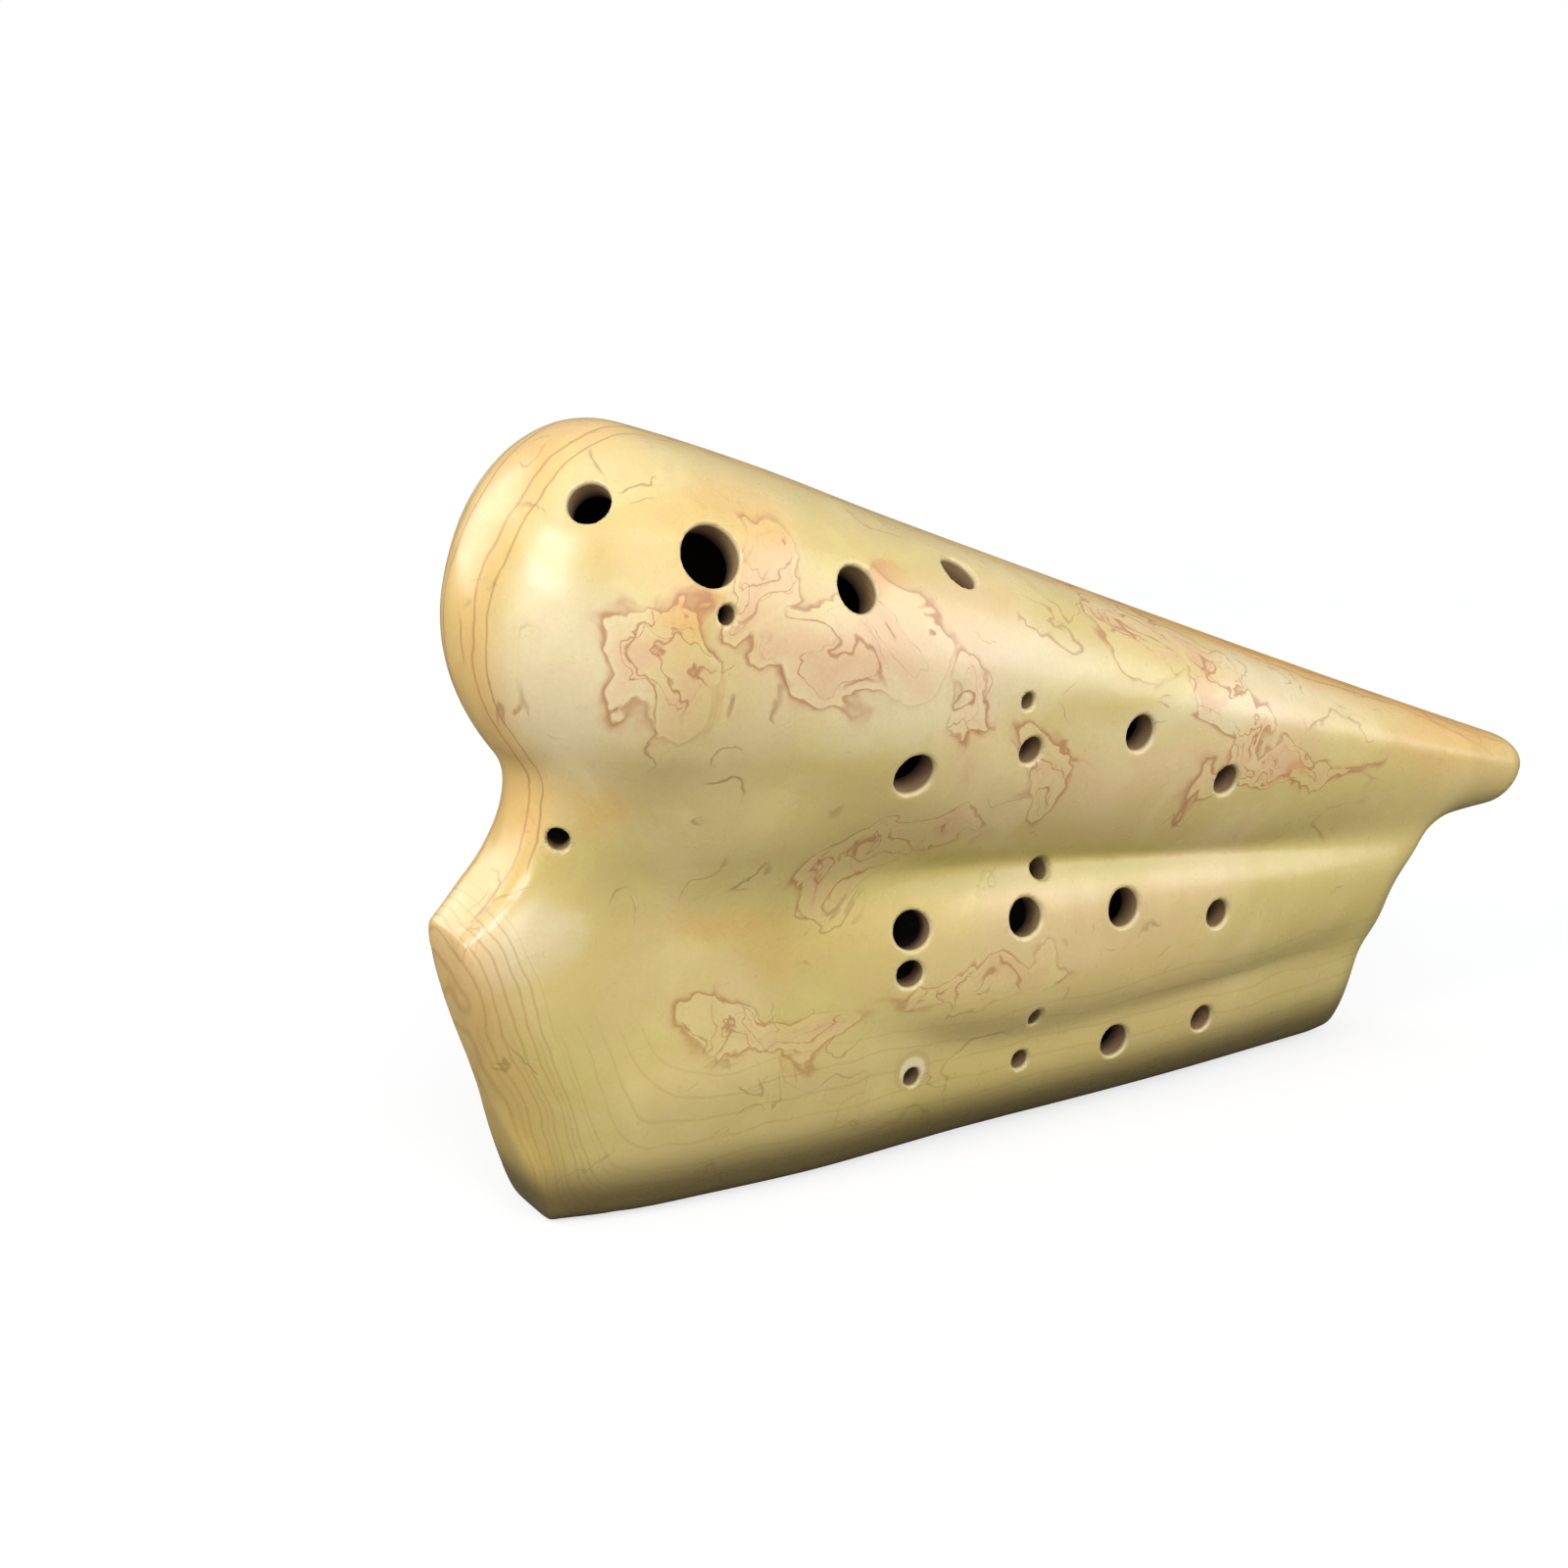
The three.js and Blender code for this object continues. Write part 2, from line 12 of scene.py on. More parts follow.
import bmesh
import bpy
import numpy as np
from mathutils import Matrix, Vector

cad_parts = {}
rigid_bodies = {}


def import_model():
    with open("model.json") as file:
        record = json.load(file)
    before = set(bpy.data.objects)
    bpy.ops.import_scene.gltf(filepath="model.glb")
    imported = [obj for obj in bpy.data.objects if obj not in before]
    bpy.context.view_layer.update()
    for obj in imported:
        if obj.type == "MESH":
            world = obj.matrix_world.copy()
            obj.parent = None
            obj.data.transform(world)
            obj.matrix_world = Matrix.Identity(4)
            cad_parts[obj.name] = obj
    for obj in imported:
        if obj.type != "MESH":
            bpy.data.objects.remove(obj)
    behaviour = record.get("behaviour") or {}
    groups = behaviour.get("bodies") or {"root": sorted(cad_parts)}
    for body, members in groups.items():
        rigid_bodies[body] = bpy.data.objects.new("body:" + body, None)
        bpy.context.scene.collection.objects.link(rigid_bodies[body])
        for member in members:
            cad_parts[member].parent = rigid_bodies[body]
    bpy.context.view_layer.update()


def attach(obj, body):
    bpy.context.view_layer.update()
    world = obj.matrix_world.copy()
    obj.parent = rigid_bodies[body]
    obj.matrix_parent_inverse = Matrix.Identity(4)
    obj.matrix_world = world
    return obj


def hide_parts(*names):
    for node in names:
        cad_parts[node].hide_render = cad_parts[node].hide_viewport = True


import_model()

MM = 0.001
CELL = 0.55  # mesh spacing in millimetres
GRID_LOW = (-13.0, -28.0, -1.5)
GRID_HIGH = (184.0, 28.0, 112.0)
THINNED = 0.4  # share of the faces that is kept

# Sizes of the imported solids, in millimetres, measured from the mouthpiece's lower corner
FRAME_SHIFT = -84.853
WALL = 4.5
PARTITION = 3.5
GROUND_FLAT = 1.2
PARTITION_HEIGHT = 19.2
CREASE_HEIGHT = 48.0
NECK_START = (27.6, 30.2)
NECK_END = 46.0
MOUTH_LEAN = 17.1
MOUTH_AXIS_HEIGHT = 21.1
CHAMBER_3_AXIS_HEIGHT = 15.4
CHAMBER_2_BELLY = 14.8
CHAMBER_1_RISE = 56.2

# Limits of the reckoning
READINGS = 2001
LEAN_ROUNDS = 5
TINY = 1e-6
LEAST_REACH = 0.2
LEAST_CAP = 8.0
LEAST_SLOPE = 0.1
SLOPE_STEP = 0.04
SKIN_STEP = 0.075  # millimetres along the skin, and degrees round it

# Widths of the eased rims, in millimetres
RIM = 1.0
SMALL_RIM = 0.7
EDGE = 0.8
SMALL_BORE = 3.5
RIMS_REACH = 4.0  # how many rims past its wall a bore is felt
HOLLOW_REACH = 9.0


def curve(table, scale=1.0):
    """A smooth curve through a table of shares and values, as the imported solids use, read off finely."""
    places = np.array([entry[0] for entry in table], float)
    values = np.array([entry[1] for entry in table], float) * scale
    steps = np.diff(places)
    secants = np.diff(values) / steps
    slopes = np.empty(len(places))
    slopes[0], slopes[-1] = secants[0], secants[-1]
    slopes[1:-1] = (steps[1:] * secants[:-1] + steps[:-1] * secants[1:]) / (steps[1:] + steps[:-1])
    share = np.linspace(places[0], places[-1], READINGS)
    i = np.clip(np.searchsorted(places, share, side="right") - 1, 0, len(steps) - 1)
    step = steps[i]
    s = (share - places[i]) / step
    start = (2 * s**3 - 3 * s**2 + 1) * values[i] + (s**3 - 2 * s**2 + s) * step * slopes[i]
    end = (3 * s**2 - 2 * s**3) * values[i + 1] + (s**3 - s**2) * step * slopes[i + 1]
    readings = start + end
    return lambda at: np.interp(at, share, readings)


class Form:
    """A row of superelliptic sections along a sloping axis."""

    def __init__(self, start, slope, length, reach, start_rounds, end_rounds, lean, shares, powers):
        self.start = start
        self.slope = math.radians(slope)
        self.length = length
        self.rounds = (start_rounds, end_rounds)
        self.lean = curve(lean)
        self.rise, self.drop, self.depth = (curve(table, size) for table, size in zip(shares, reach))
        self.power = curve(powers)

    def section(self, x, z):
        """The station along the axis and the height above it of places in the side view."""
        cos, sin = math.cos(self.slope), math.sin(self.slope)
        along = (x - self.start[0]) * cos + (z - self.start[1]) * sin
        above = (z - self.start[1]) * cos - (x - self.start[0]) * sin
        station = along
        for _ in range(LEAN_ROUNDS):
            lean = np.radians(self.lean(station / self.length)) - self.slope
            station = along - above / np.tan(lean)
        return station, above / np.sin(lean)

    def distances(self, x, y, z, *insets):
        """Nearly the distances to the form's skin and to insets of it, less than nothing inside."""
        station, height = self.section(x, z)
        return [self.from_section(station, height, y, inset) for inset in insets]

    def from_section(self, station, height, y, inset):
        """Nearly the distance to one inset, from a place's station and its height above the axis."""
        share = station / self.length
        power = self.power(share)
        upper = height > 0
        deep = np.maximum(self.depth(share) - inset, LEAST_REACH)
        high = np.maximum(np.where(upper, self.rise(share), self.drop(share)) - inset, LEAST_REACH)
        across = (np.abs(y) / deep) ** power
        spread = across + (np.abs(height) / high) ** power + TINY
        squared = spread ** (2 / power)
        sideways = across / spread
        missing = 0.0
        steep = (squared * sideways / (np.abs(y) + TINY)) ** 2
        steep = steep + (squared * (1 - sideways) / (np.abs(height) + TINY)) ** 2
        inward = (station - inset, self.length - inset - station)
        for left, (rise, drop, depth) in zip(inward, self.rounds):
            for radius, weight in ((depth, sideways), (np.where(upper, rise, drop), 1 - sideways)):
                radius = np.maximum(radius - inset, LEAST_REACH)
                gone = np.maximum(1 - left / radius, 0)
                missing = missing + weight * gone**2
                steep = steep + weight * (gone / np.maximum(radius, LEAST_CAP)) ** 2
        size = np.sqrt(squared + missing)
        return (size - 1) * size / np.sqrt(steep + TINY)

    def point(self, share, degrees):
        """The place on the skin at a share of the length and an angle round the section."""
        angle = math.radians(degrees)
        lean = math.radians(float(self.lean(share)))
        power = 2 / float(self.power(share))
        side, up = math.cos(angle), math.sin(angle)
        station = share * self.length
        tall, kind = (self.rise, 0) if up > 0 else (self.drop, 1)
        y = -math.copysign(abs(side) ** power, side) * float(self.depth(share)) * self.left(station, 2)
        height = math.copysign(abs(up) ** power, up) * float(tall(share)) * self.left(station, kind)
        return np.array([
            self.start[0] + station * math.cos(self.slope) + height * math.cos(lean),
            y,
            self.start[1] + station * math.sin(self.slope) + height * math.sin(lean),
        ])

    def left(self, station, kind):
        """How much of a half size is left at a station near a rounded end."""
        share = 1.0
        for distance, rounds in zip((station, self.length - station), self.rounds):
            if rounds[kind] > 0:
                share *= math.sqrt(1 - min(max(1 - distance / rounds[kind], 0), 1) ** 2)
        return share


# Start, slope and length of each form, its reach up, down and sideways, the rounds of its two ends, and
# then by share of the length the lean of its sections, the share of each reach, and the sections' power
CHAMBER_3 = Form(
    (6, CHAMBER_3_AXIS_HEIGHT), 0, 142.3, (9, CHAMBER_3_AXIS_HEIGHT + GROUND_FLAT, 13),
    (4, 3, 8), (3, 2, 8),
    [[0, 104], [0.5, 88], [1, 69]],
    ([[0, 1], [1, 0.78]], [[0, 1], [1, 1]], [[0, 0.85], [0.4, 1], [0.7, 0.88], [1, 0.54]]),
    [[0, 2.6], [1, 2.6]],
)
CHAMBER_2 = Form(
    (14, PARTITION_HEIGHT + CHAMBER_2_BELLY), -3.14, 140.5, (14, CHAMBER_2_BELLY + PARTITION, 16.5),
    (4, 4, 8), (4, 3, 9),
    [[0, 100], [0.5, 88], [1, 60]],
    (
        [[0, 0.79], [0.5, 1], [1, 0.43]],
        [[0, 0.93], [0.5, 0.96], [0.85, 0.77], [1, 0.66]],
        [[0, 0.64], [0.15, 0.75], [0.32, 1], [0.6, 0.92], [0.85, 0.7], [1, 0.52]],
    ),
    [[0, 2.2], [0.4, 2.8], [1, 2.8]],
)
CHAMBER_1 = Form(
    (-6.8, PARTITION_HEIGHT + CHAMBER_2_BELLY + CHAMBER_1_RISE), -15.36, 194, (24.4, 30.5, 25.5),
    (18, 27, 24), (6, 6, 7),
    [[0, 75.5], [1, 75.5]],
    (
        [[0, 1], [0.1, 0.99], [0.2, 0.92], [0.3, 0.81], [0.45, 0.66], [0.7, 0.42], [0.88, 0.26], [1, 0.16]],
        [[0, 0.85], [0.1, 0.92], [0.22, 1], [0.35, 0.99], [0.5, 0.92], [0.7, 0.75], [0.85, 0.5],
         [0.95, 0.28], [1, 0.18]],
        [[0, 0.9], [0.12, 1], [0.3, 0.98], [0.5, 0.82], [0.7, 0.63], [0.88, 0.41], [1, 0.24]],
    ),
    [[0, 2.2], [0.5, 2.2], [1, 2.1]],
)
MOUTH_START = -MOUTH_AXIS_HEIGHT * math.tan(math.radians(MOUTH_LEAN))
MOUTHPIECE = Form(
    (MOUTH_START, MOUTH_AXIS_HEIGHT), 0, 80, (50, 23.4, 12.4), (3, 1.5, 10), (0, 0, 0),
    [[0, 90 + MOUTH_LEAN], [0.36, 90 + MOUTH_LEAN], [0.73, 98], [1, 95]],
    (
        [[0, 0.43], [0.11, 0.56], [0.18, 0.66], [0.24, 0.78], [0.305, 0.96], [0.44, 1], [1, 0.8]],
        [[0, 1], [0.73, 0.97], [1, 0.9]],
        [[0, 0.81], [0.22, 0.92], [0.6, 1], [0.8, 0.8], [1, 0.35]],
    ),
    [[0, 4.6], [0.29, 4.2], [0.73, 3], [1, 2.2]],
)

WINDWAY_LENGTH = 32.0
WINDWAY_PITCH = 12.5
WINDWAY_HEIGHT = 1.6
WINDWAY_ENTRY = 5.6
WINDWAY_EXIT = 6.6
WINDWAY_CLIMB = math.atan((WINDWAY_EXIT - WINDWAY_ENTRY) / WINDWAY_LENGTH)
OVERLAP = 1.0
ROOF_SETBACK = 12.0
ROOF_SEAT = 1.5
ROOF_END = WINDWAY_LENGTH + 4.5
WINDOW_LENGTH = 5.5
LABIUM_LENGTH = 9.0
LABIUM_LEVEL = 7.2
LABIUM_EDGE = 0.9
LABIUM_RAMP = 27.0
OVERRUN = 70.0
VOICES = ((11, 1, 20), (9, 0, 12), (8, -1, 4))  # width, offset share and slope of each windway

DUCT_DEPTH = 9.0
DUCT_REACH = 16.0
DUCT_RISE = 26.0

# Share along, angle round and bore of each hole, and the way of those that aren't square to the skin
LEDGE_DRILL = (0, -0.97, 0.24)
HOLES = (
    (CHAMBER_1, (
        (0.044, 41.6, 5.7), (0.117, 26.3, 8.3), (0.131, 9.1, 2.6), (0.234, 27.5, 6.6), (0.336, 50.4, 5.7),
        (0.314, -22.8, 6.2), (0.41, -12, 4), (0.394, -0.3, 2.4), (0.512, -4, 5.3), (0.617, -15.7, 4.6),
        (0.12, 184, 9), (0.36, 196, 6.5),
    )),
    (CHAMBER_2, (
        (0.284, 14, 5.7), (0.278, -3, 4.1), (0.415, 12.2, 5.7), (0.443, 43, 3.3, LEDGE_DRILL),
        (0.542, 8.8, 5.8), (0.676, 0.1, 4.3), (0.36, 177, 6),
    )),
    (CHAMBER_3, (
        (0.345, -4.3, 2.9), (0.481, -8, 3), (0.488, 16.5, 2.3, LEDGE_DRILL), (0.608, -10.5, 5.1),
        (0.733, -11.1, 4.1), (0.42, 180, 5),
    )),
)
CORD_HOLE = (0.252, 56.6, 25, 3.1)  # share along, angle round, turn of its way, and bore
DRILL_OUT = 4.5
DRILL_SHARE = 1.9

# How widely the forms melt into each other, by the place along the instrument
BLEND_HEAD = curve((
    (-20, 20), (8, 24), (20, 28), (32, 27), (42, 18), (54, 10), (70, 6), (128, 6), (152, 15), (190, 18),
))
BLEND_TERRACES = curve((
    (-20, 20), (28, 19), (42, 12), (54, 5), (75, 3.5), (135, 3.5), (155, 8), (190, 9),
))
BLEND_LESS_ABOVE = (0.9, 52, 78)  # share by which the head's blend is less, from one height to another
BLEND_LESS_BEHIND = (0.6, 0, 9)  # the same from one depth to another, towards the thumb side
BLEND_MOUTH = 7.0
BLEND_GROUND = 3.0


def blended(first, second, width):
    """The union of two fields, with a fillet of about the given width."""
    near = np.maximum(1 - np.abs(first - second) / width, 0)
    return np.minimum(first, second) - near**3 * width / 6


def carved(solid, hollow, width):
    """A solid field less a hollow one, with rims rounded over about the given width."""
    return -blended(-solid, hollow, width)


def span(value, low, high):
    """How far a coordinate lies outside a span."""
    return np.maximum(low - value, value - high)


def eased(value, low, high):
    """A smooth step from 0 at the low value to 1 at the high one."""
    share = np.clip((value - low) / (high - low), 0, 1)
    return share * share * (3 - 2 * share)


def skin(x, y, z, upper, middle, lower, mouth):
    """The outside of the fired body, before anything is cut into it, from the fields of its forms."""
    terraces = blended(middle, lower, BLEND_TERRACES(x))
    below = blended(terraces, mouth, BLEND_MOUTH)
    less_above, *heights = BLEND_LESS_ABOVE
    less_behind, *depths = BLEND_LESS_BEHIND
    width = BLEND_HEAD(x) * (1 - less_above * eased(z, *heights)) * (1 - less_behind * eased(y, *depths))
    return carved(blended(below, upper, width), z, BLEND_GROUND)


def level(voice, x, z):
    """Places in a windway's own frame: how far in from the lip, and how far across."""
    _, offset_share, slope = voice
    lean = math.radians(MOUTH_LEAN)
    offset = offset_share * WINDWAY_PITCH
    x = x - (MOUTH_START - offset * math.sin(lean))
    z = z - (MOUTH_AXIS_HEIGHT + offset * math.cos(lean))
    cos, sin = math.cos(math.radians(slope)), math.sin(math.radians(slope))
    return x * cos + z * sin, z * cos - x * sin


def windway(voice, x, y, z):
    """The flat channel that carries the breath from the lip to its window."""
    level_along, across = level(voice, x, z)
    cos, sin = math.cos(WINDWAY_CLIMB), math.sin(WINDWAY_CLIMB)
    aside = y - WINDWAY_ENTRY
    along = level_along * cos + aside * sin
    above = aside * cos - level_along * sin
    length = span(along, -WALL, WINDWAY_LENGTH + OVERLAP)
    return np.maximum(np.maximum(length, span(above, 0, WINDWAY_HEIGHT)), np.abs(across) - voice[0] / 2)


def window(voice, x, y, z):
    """The opening at the end of a windway, and the ramp down to its sounding edge."""
    along, across = level(voice, x, z)
    edge = WINDWAY_LENGTH + WINDOW_LENGTH
    opening = np.maximum(span(along, WINDWAY_LENGTH, edge), LABIUM_LEVEL - WALL - y)
    ramp = math.radians(LABIUM_RAMP)
    floor = (LABIUM_LEVEL + LABIUM_EDGE + (along - edge) * math.tan(ramp) - y) * math.cos(ramp)
    slope = np.maximum(span(along, edge - OVERLAP, edge + LABIUM_LENGTH), floor)
    return np.maximum(np.minimum(opening, slope), np.abs(across) - voice[0] / 2)


def sounding_clay(voice, x, y, z):
    """Clay kept under a window's ramp."""
    along, across = level(voice, x, z)
    edge = WINDWAY_LENGTH + WINDOW_LENGTH
    length = span(along, edge, edge + LABIUM_LENGTH)
    return np.maximum(np.maximum(length, LABIUM_LEVEL - y), np.abs(across) - voice[0] / 2 - ROOF_SEAT)


def duct(x, y, z):
    """The way from the first window up through the neck into the head."""
    along, across = level(VOICES[0], x, z)
    depth = span(y, -DUCT_DEPTH, LABIUM_LEVEL)
    throat_end = WINDWAY_LENGTH + WINDOW_LENGTH + LABIUM_LENGTH
    throat = np.maximum(span(along, WINDWAY_LENGTH, throat_end), np.abs(across) - VOICES[0][0] / 2)
    riser_length = span(along, WINDWAY_LENGTH + WALL, WINDWAY_LENGTH + DUCT_REACH)
    riser = np.maximum(riser_length, span(across, 0, DUCT_RISE))
    return np.maximum(np.minimum(throat, riser), depth)


def rooms(x, y, z, skin_1, room_1, room_2, room_3):
    """The three chambers, with the walls, the partition and the sounding edges left standing."""
    upper = np.minimum(room_1, duct(x, y, z))
    middle = np.maximum(room_2, PARTITION_HEIGHT + PARTITION - z)
    middle = np.maximum(np.maximum(middle, neck_floor(x, z)), -skin_1)
    lower = np.maximum(room_3, z - PARTITION_HEIGHT)
    upper, middle, lower = (
        np.maximum(room, -sounding_clay(voice, x, y, z))
        for room, voice in zip((upper, middle, lower), VOICES)
    )
    return np.minimum(upper, np.minimum(middle, lower))


def neck_floor(x, z):
    """How far a place is into the clay between the middle room and the neck over it."""
    low_x, low_z = NECK_START
    high_x, high_z = NECK_END, CREASE_HEIGHT - WALL
    length = math.hypot(high_x - low_x, high_z - low_z)
    above = ((high_x - low_x) * (z - low_z) - (high_z - low_z) * (x - low_x)) / length
    return np.minimum(above, NECK_END - x)


class Bore:
    """A round hole along a straight way."""

    def __init__(self, start, end, bore, rim):
        self.middle = (start + end) / 2
        self.half = np.linalg.norm(end - start) / 2
        self.way = (end - start) / (2 * self.half)
        self.radius = bore / 2
        self.rim = rim
        self.reach = np.abs(self.way) * self.half + self.radius + RIMS_REACH * rim

    def distance(self, x, y, z):
        px, py, pz = x - self.middle[0], y - self.middle[1], z - self.middle[2]
        along = px * self.way[0] + py * self.way[1] + pz * self.way[2]
        away = np.sqrt(np.maximum(px**2 + py**2 + pz**2 - along**2, 0))
        return np.maximum(away - self.radius, np.abs(along) - self.half)

    def near(self, x, y, z):
        places = zip((x, y, z), self.middle, self.reach)
        spans = [np.abs(value - middle) < reach for value, middle, reach in places]
        return spans[0] & spans[1] & spans[2]


def finger_bore(form, share, degrees, bore, way=None):
    """A hole bored square to the skin of a form, or along a given way."""
    place = form.point(share, degrees)
    rim = RIM if bore > SMALL_BORE else SMALL_RIM
    outward = np.array(way) if way else square_to(form, share, degrees, place)
    return Bore(place - DRILL_SHARE * WALL * outward, place + DRILL_OUT * outward, bore, rim)


def square_to(form, share, degrees, place):
    """The way out of a form, square to its skin."""
    step = SKIN_STEP / form.length
    forward = form.point(share + step, degrees) - form.point(share - step, degrees)
    around = form.point(share, degrees + SKIN_STEP) - form.point(share, degrees - SKIN_STEP)
    outward = np.cross(forward, around)
    outward /= np.linalg.norm(outward)
    return outward if outward[1] * place[1] > 0 else -outward


def cord_bore():
    """The hole for a neck cord, right through the corner of the neck."""
    share, degrees, turn, bore = CORD_HOLE
    place = MOUTHPIECE.point(share, degrees)
    through = OVERRUN * np.array([math.sin(math.radians(turn)), math.cos(math.radians(turn)), 0])
    return Bore(place - through, place + through, bore, SMALL_RIM)


BORES = [finger_bore(form, *hole) for form, holes in HOLES for hole in holes] + [cord_bore()]


def body(x, y, z):
    """The skin before it is cut, and the whole fired body less its bores."""
    skin_1, room_1 = CHAMBER_1.distances(x, y, z, 0, WALL)
    skin_2, room_2 = CHAMBER_2.distances(x, y, z, 0, WALL)
    skin_3, room_3 = CHAMBER_3.distances(x, y, z, 0, WALL)
    [mouth] = MOUTHPIECE.distances(x, y, z, 0)
    outside = skin(x, y, z, skin_1, skin_2, skin_3, mouth)
    solid = carved(outside, rooms(x, y, z, skin_1, room_1, room_2, room_3), EDGE)
    for voice in VOICES:
        solid = carved(solid, windway(voice, x, y, z), EDGE)
        solid = carved(solid, window(voice, x, y, z), EDGE)
    return outside, solid


def drilled(solid, x, y, z):
    """The body's field at separate places, less the bores that come near them."""
    for bore in BORES:
        near = bore.near(x, y, z)
        if near.any():
            hollow = bore.distance(x[near], y[near], z[near])
            solid[near] = carved(solid[near], hollow, bore.rim)
    return solid


def field(places):
    """The finished body's field at separate places."""
    x, y, z = places.T
    return drilled(body(x, y, z)[1], x, y, z)


def field_on_grid(axes):
    """The same field on a regular grid."""
    x, y, z = axes
    solid = body(x[:, None, None], y[None, :, None], z[None, None, :])[1]
    for bore in BORES:
        part = tuple(
            slice(*np.searchsorted(axis, (middle - reach, middle + reach)))
            for axis, middle, reach in zip(axes, bore.middle, bore.reach)
        )
        bx, by, bz = np.meshgrid(*(axis[near] for axis, near in zip(axes, part)), indexing="ij")
        solid[part] = carved(solid[part], bore.distance(bx, by, bz), bore.rim)
    return solid


def crossings_along(axis, values):
    """The four cells round each place where a field on a grid passes zero along an axis, and the place."""
    low = [slice(None)] * 3
    high = [slice(None)] * 3
    low[axis], high[axis] = slice(0, -1), slice(1, None)
    before, after = values[tuple(low)], values[tuple(high)]
    at = np.argwhere((before < 0) != (after < 0))
    before, after = before[tuple(at.T)], after[tuple(at.T)]
    places = at.astype(float)
    places[:, axis] += before / (before - after)
    one, two = np.zeros(3, int), np.zeros(3, int)
    one[(axis + 1) % 3] = 1
    two[(axis + 2) % 3] = 1
    cells = np.stack([at - one - two, at - two, at, at - one], axis=1)
    flip = after < before
    cells[flip] = cells[flip, ::-1]
    return cells, places


def surface_net(values, axes):
    """Vertices and quads of the zero level of a field on a grid."""
    found = [crossings_along(axis, values) for axis in range(3)]
    cells = np.concatenate([cells for cells, _ in found])
    crossings = np.concatenate([np.repeat(places, 4, axis=0) for _, places in found])
    cell_shape = tuple(np.array(values.shape) - 1)
    ids = np.ravel_multi_index(tuple(cells.reshape(-1, 3).T), cell_shape)
    _, index = np.unique(ids, return_inverse=True)
    index = index.reshape(-1)
    count = np.bincount(index)
    vertices = np.stack([np.bincount(index, crossings[:, k]) / count for k in range(3)], axis=1)
    origin = np.array([axis[0] for axis in axes])
    return vertices * CELL + origin, index.reshape(-1, 4)


def slope_at(places):
    """The field and its slope, from four places round each one."""
    ways = np.array([[1, -1, -1], [-1, -1, 1], [-1, 1, -1], [1, 1, 1]], float)
    values = [field(places + SLOPE_STEP * way) for way in ways]
    slope = sum(value[:, None] * way for value, way in zip(values, ways)) / (4 * SLOPE_STEP)
    return sum(values) / 4, slope


def settled(vertices):
    """Vertices brought onto the zero level."""
    value, slope = slope_at(vertices)
    move = value / np.maximum((slope**2).sum(1), LEAST_SLOPE)
    move = np.clip(move, -CELL / 2, CELL / 2)
    return vertices - move[:, None] * slope


def in_windway(voice, along, across):
    """A place in the side view, from its place in a windway's own frame."""
    _, offset_share, slope = voice
    lean, slope = math.radians(MOUTH_LEAN), math.radians(slope)
    offset = offset_share * WINDWAY_PITCH
    return (
        MOUTH_START - offset * math.sin(lean) + along * math.cos(slope) - across * math.sin(slope),
        MOUTH_AXIS_HEIGHT + offset * math.cos(lean) + along * math.sin(slope) + across * math.cos(slope),
    )


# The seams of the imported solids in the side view: from the block to the chambers, and between those
FAR = 260.0
SEAM_ENDS = [
    in_windway(voice, WINDWAY_LENGTH, side * (voice[0] / 2 + ROOF_SEAT))
    for voice in VOICES[::-1]
    for side in (-1, 1)
]
BLOCK_SEAM = [(SEAM_ENDS[0][0], -OVERRUN), *SEAM_ENDS, in_windway(VOICES[0], WINDWAY_LENGTH, OVERRUN)]
SEAM_12_START = tuple((SEAM_ENDS[3][i] + SEAM_ENDS[4][i]) / 2 for i in range(2))
SEAM_23_START = tuple((SEAM_ENDS[1][i] + SEAM_ENDS[2][i]) / 2 for i in range(2))
SEAM_12 = [SEAM_12_START, (NECK_END, 46.5), (70, 42), (94, 39.5), (118, 36), (150, 32.5), (FAR, 20)]
SEAM_23 = [SEAM_23_START, (NECK_END, PARTITION_HEIGHT), (FAR, PARTITION_HEIGHT)]
BLOCK_SIDE = BLOCK_SEAM + [(-FAR, FAR), (-FAR, -OVERRUN)]
CHAMBER_SIDES = {
    "chamber_1": SEAM_12 + [(FAR, FAR), BLOCK_SEAM[-1], BLOCK_SEAM[-2], BLOCK_SEAM[-3]],
    "chamber_2": SEAM_23 + SEAM_12[::-1] + BLOCK_SEAM[4:2:-1],
    "chamber_3": [BLOCK_SEAM[0], (FAR, -OVERRUN)] + SEAM_23[::-1] + BLOCK_SEAM[2:0:-1],
}


def mesh_object(name, vertices, faces, slot=0):
    """A linked object with both materials, all its faces in one slot: 0 for the clay, 1 for a cut."""
    mesh = bpy.data.meshes.new(name)
    mesh.from_pydata(vertices, [], faces)
    mesh.materials.append(CLAY)
    mesh.materials.append(CUT)
    mesh.polygons.foreach_set("material_index", [slot] * len(mesh.polygons))
    ob = bpy.data.objects.new(name, mesh)
    bpy.context.scene.collection.objects.link(ob)
    return ob


def prism(outline, low, high):
    """A cutter over an outline in the side view, from one depth to another."""
    area = sum(a[0] * b[1] - b[0] * a[1] for a, b in zip(outline, outline[1:] + outline[:1]))
    outline = outline if area < 0 else outline[::-1]
    count = len(outline)
    vertices = [(x, y, z) for y in (low, high) for x, z in outline]
    sides = [((i + 1) % count, count + (i + 1) % count, count + i, i) for i in range(count)]
    caps = [tuple(reversed(range(count))), tuple(range(count, 2 * count))]
    return mesh_object("cutter", vertices, sides + caps, 1)


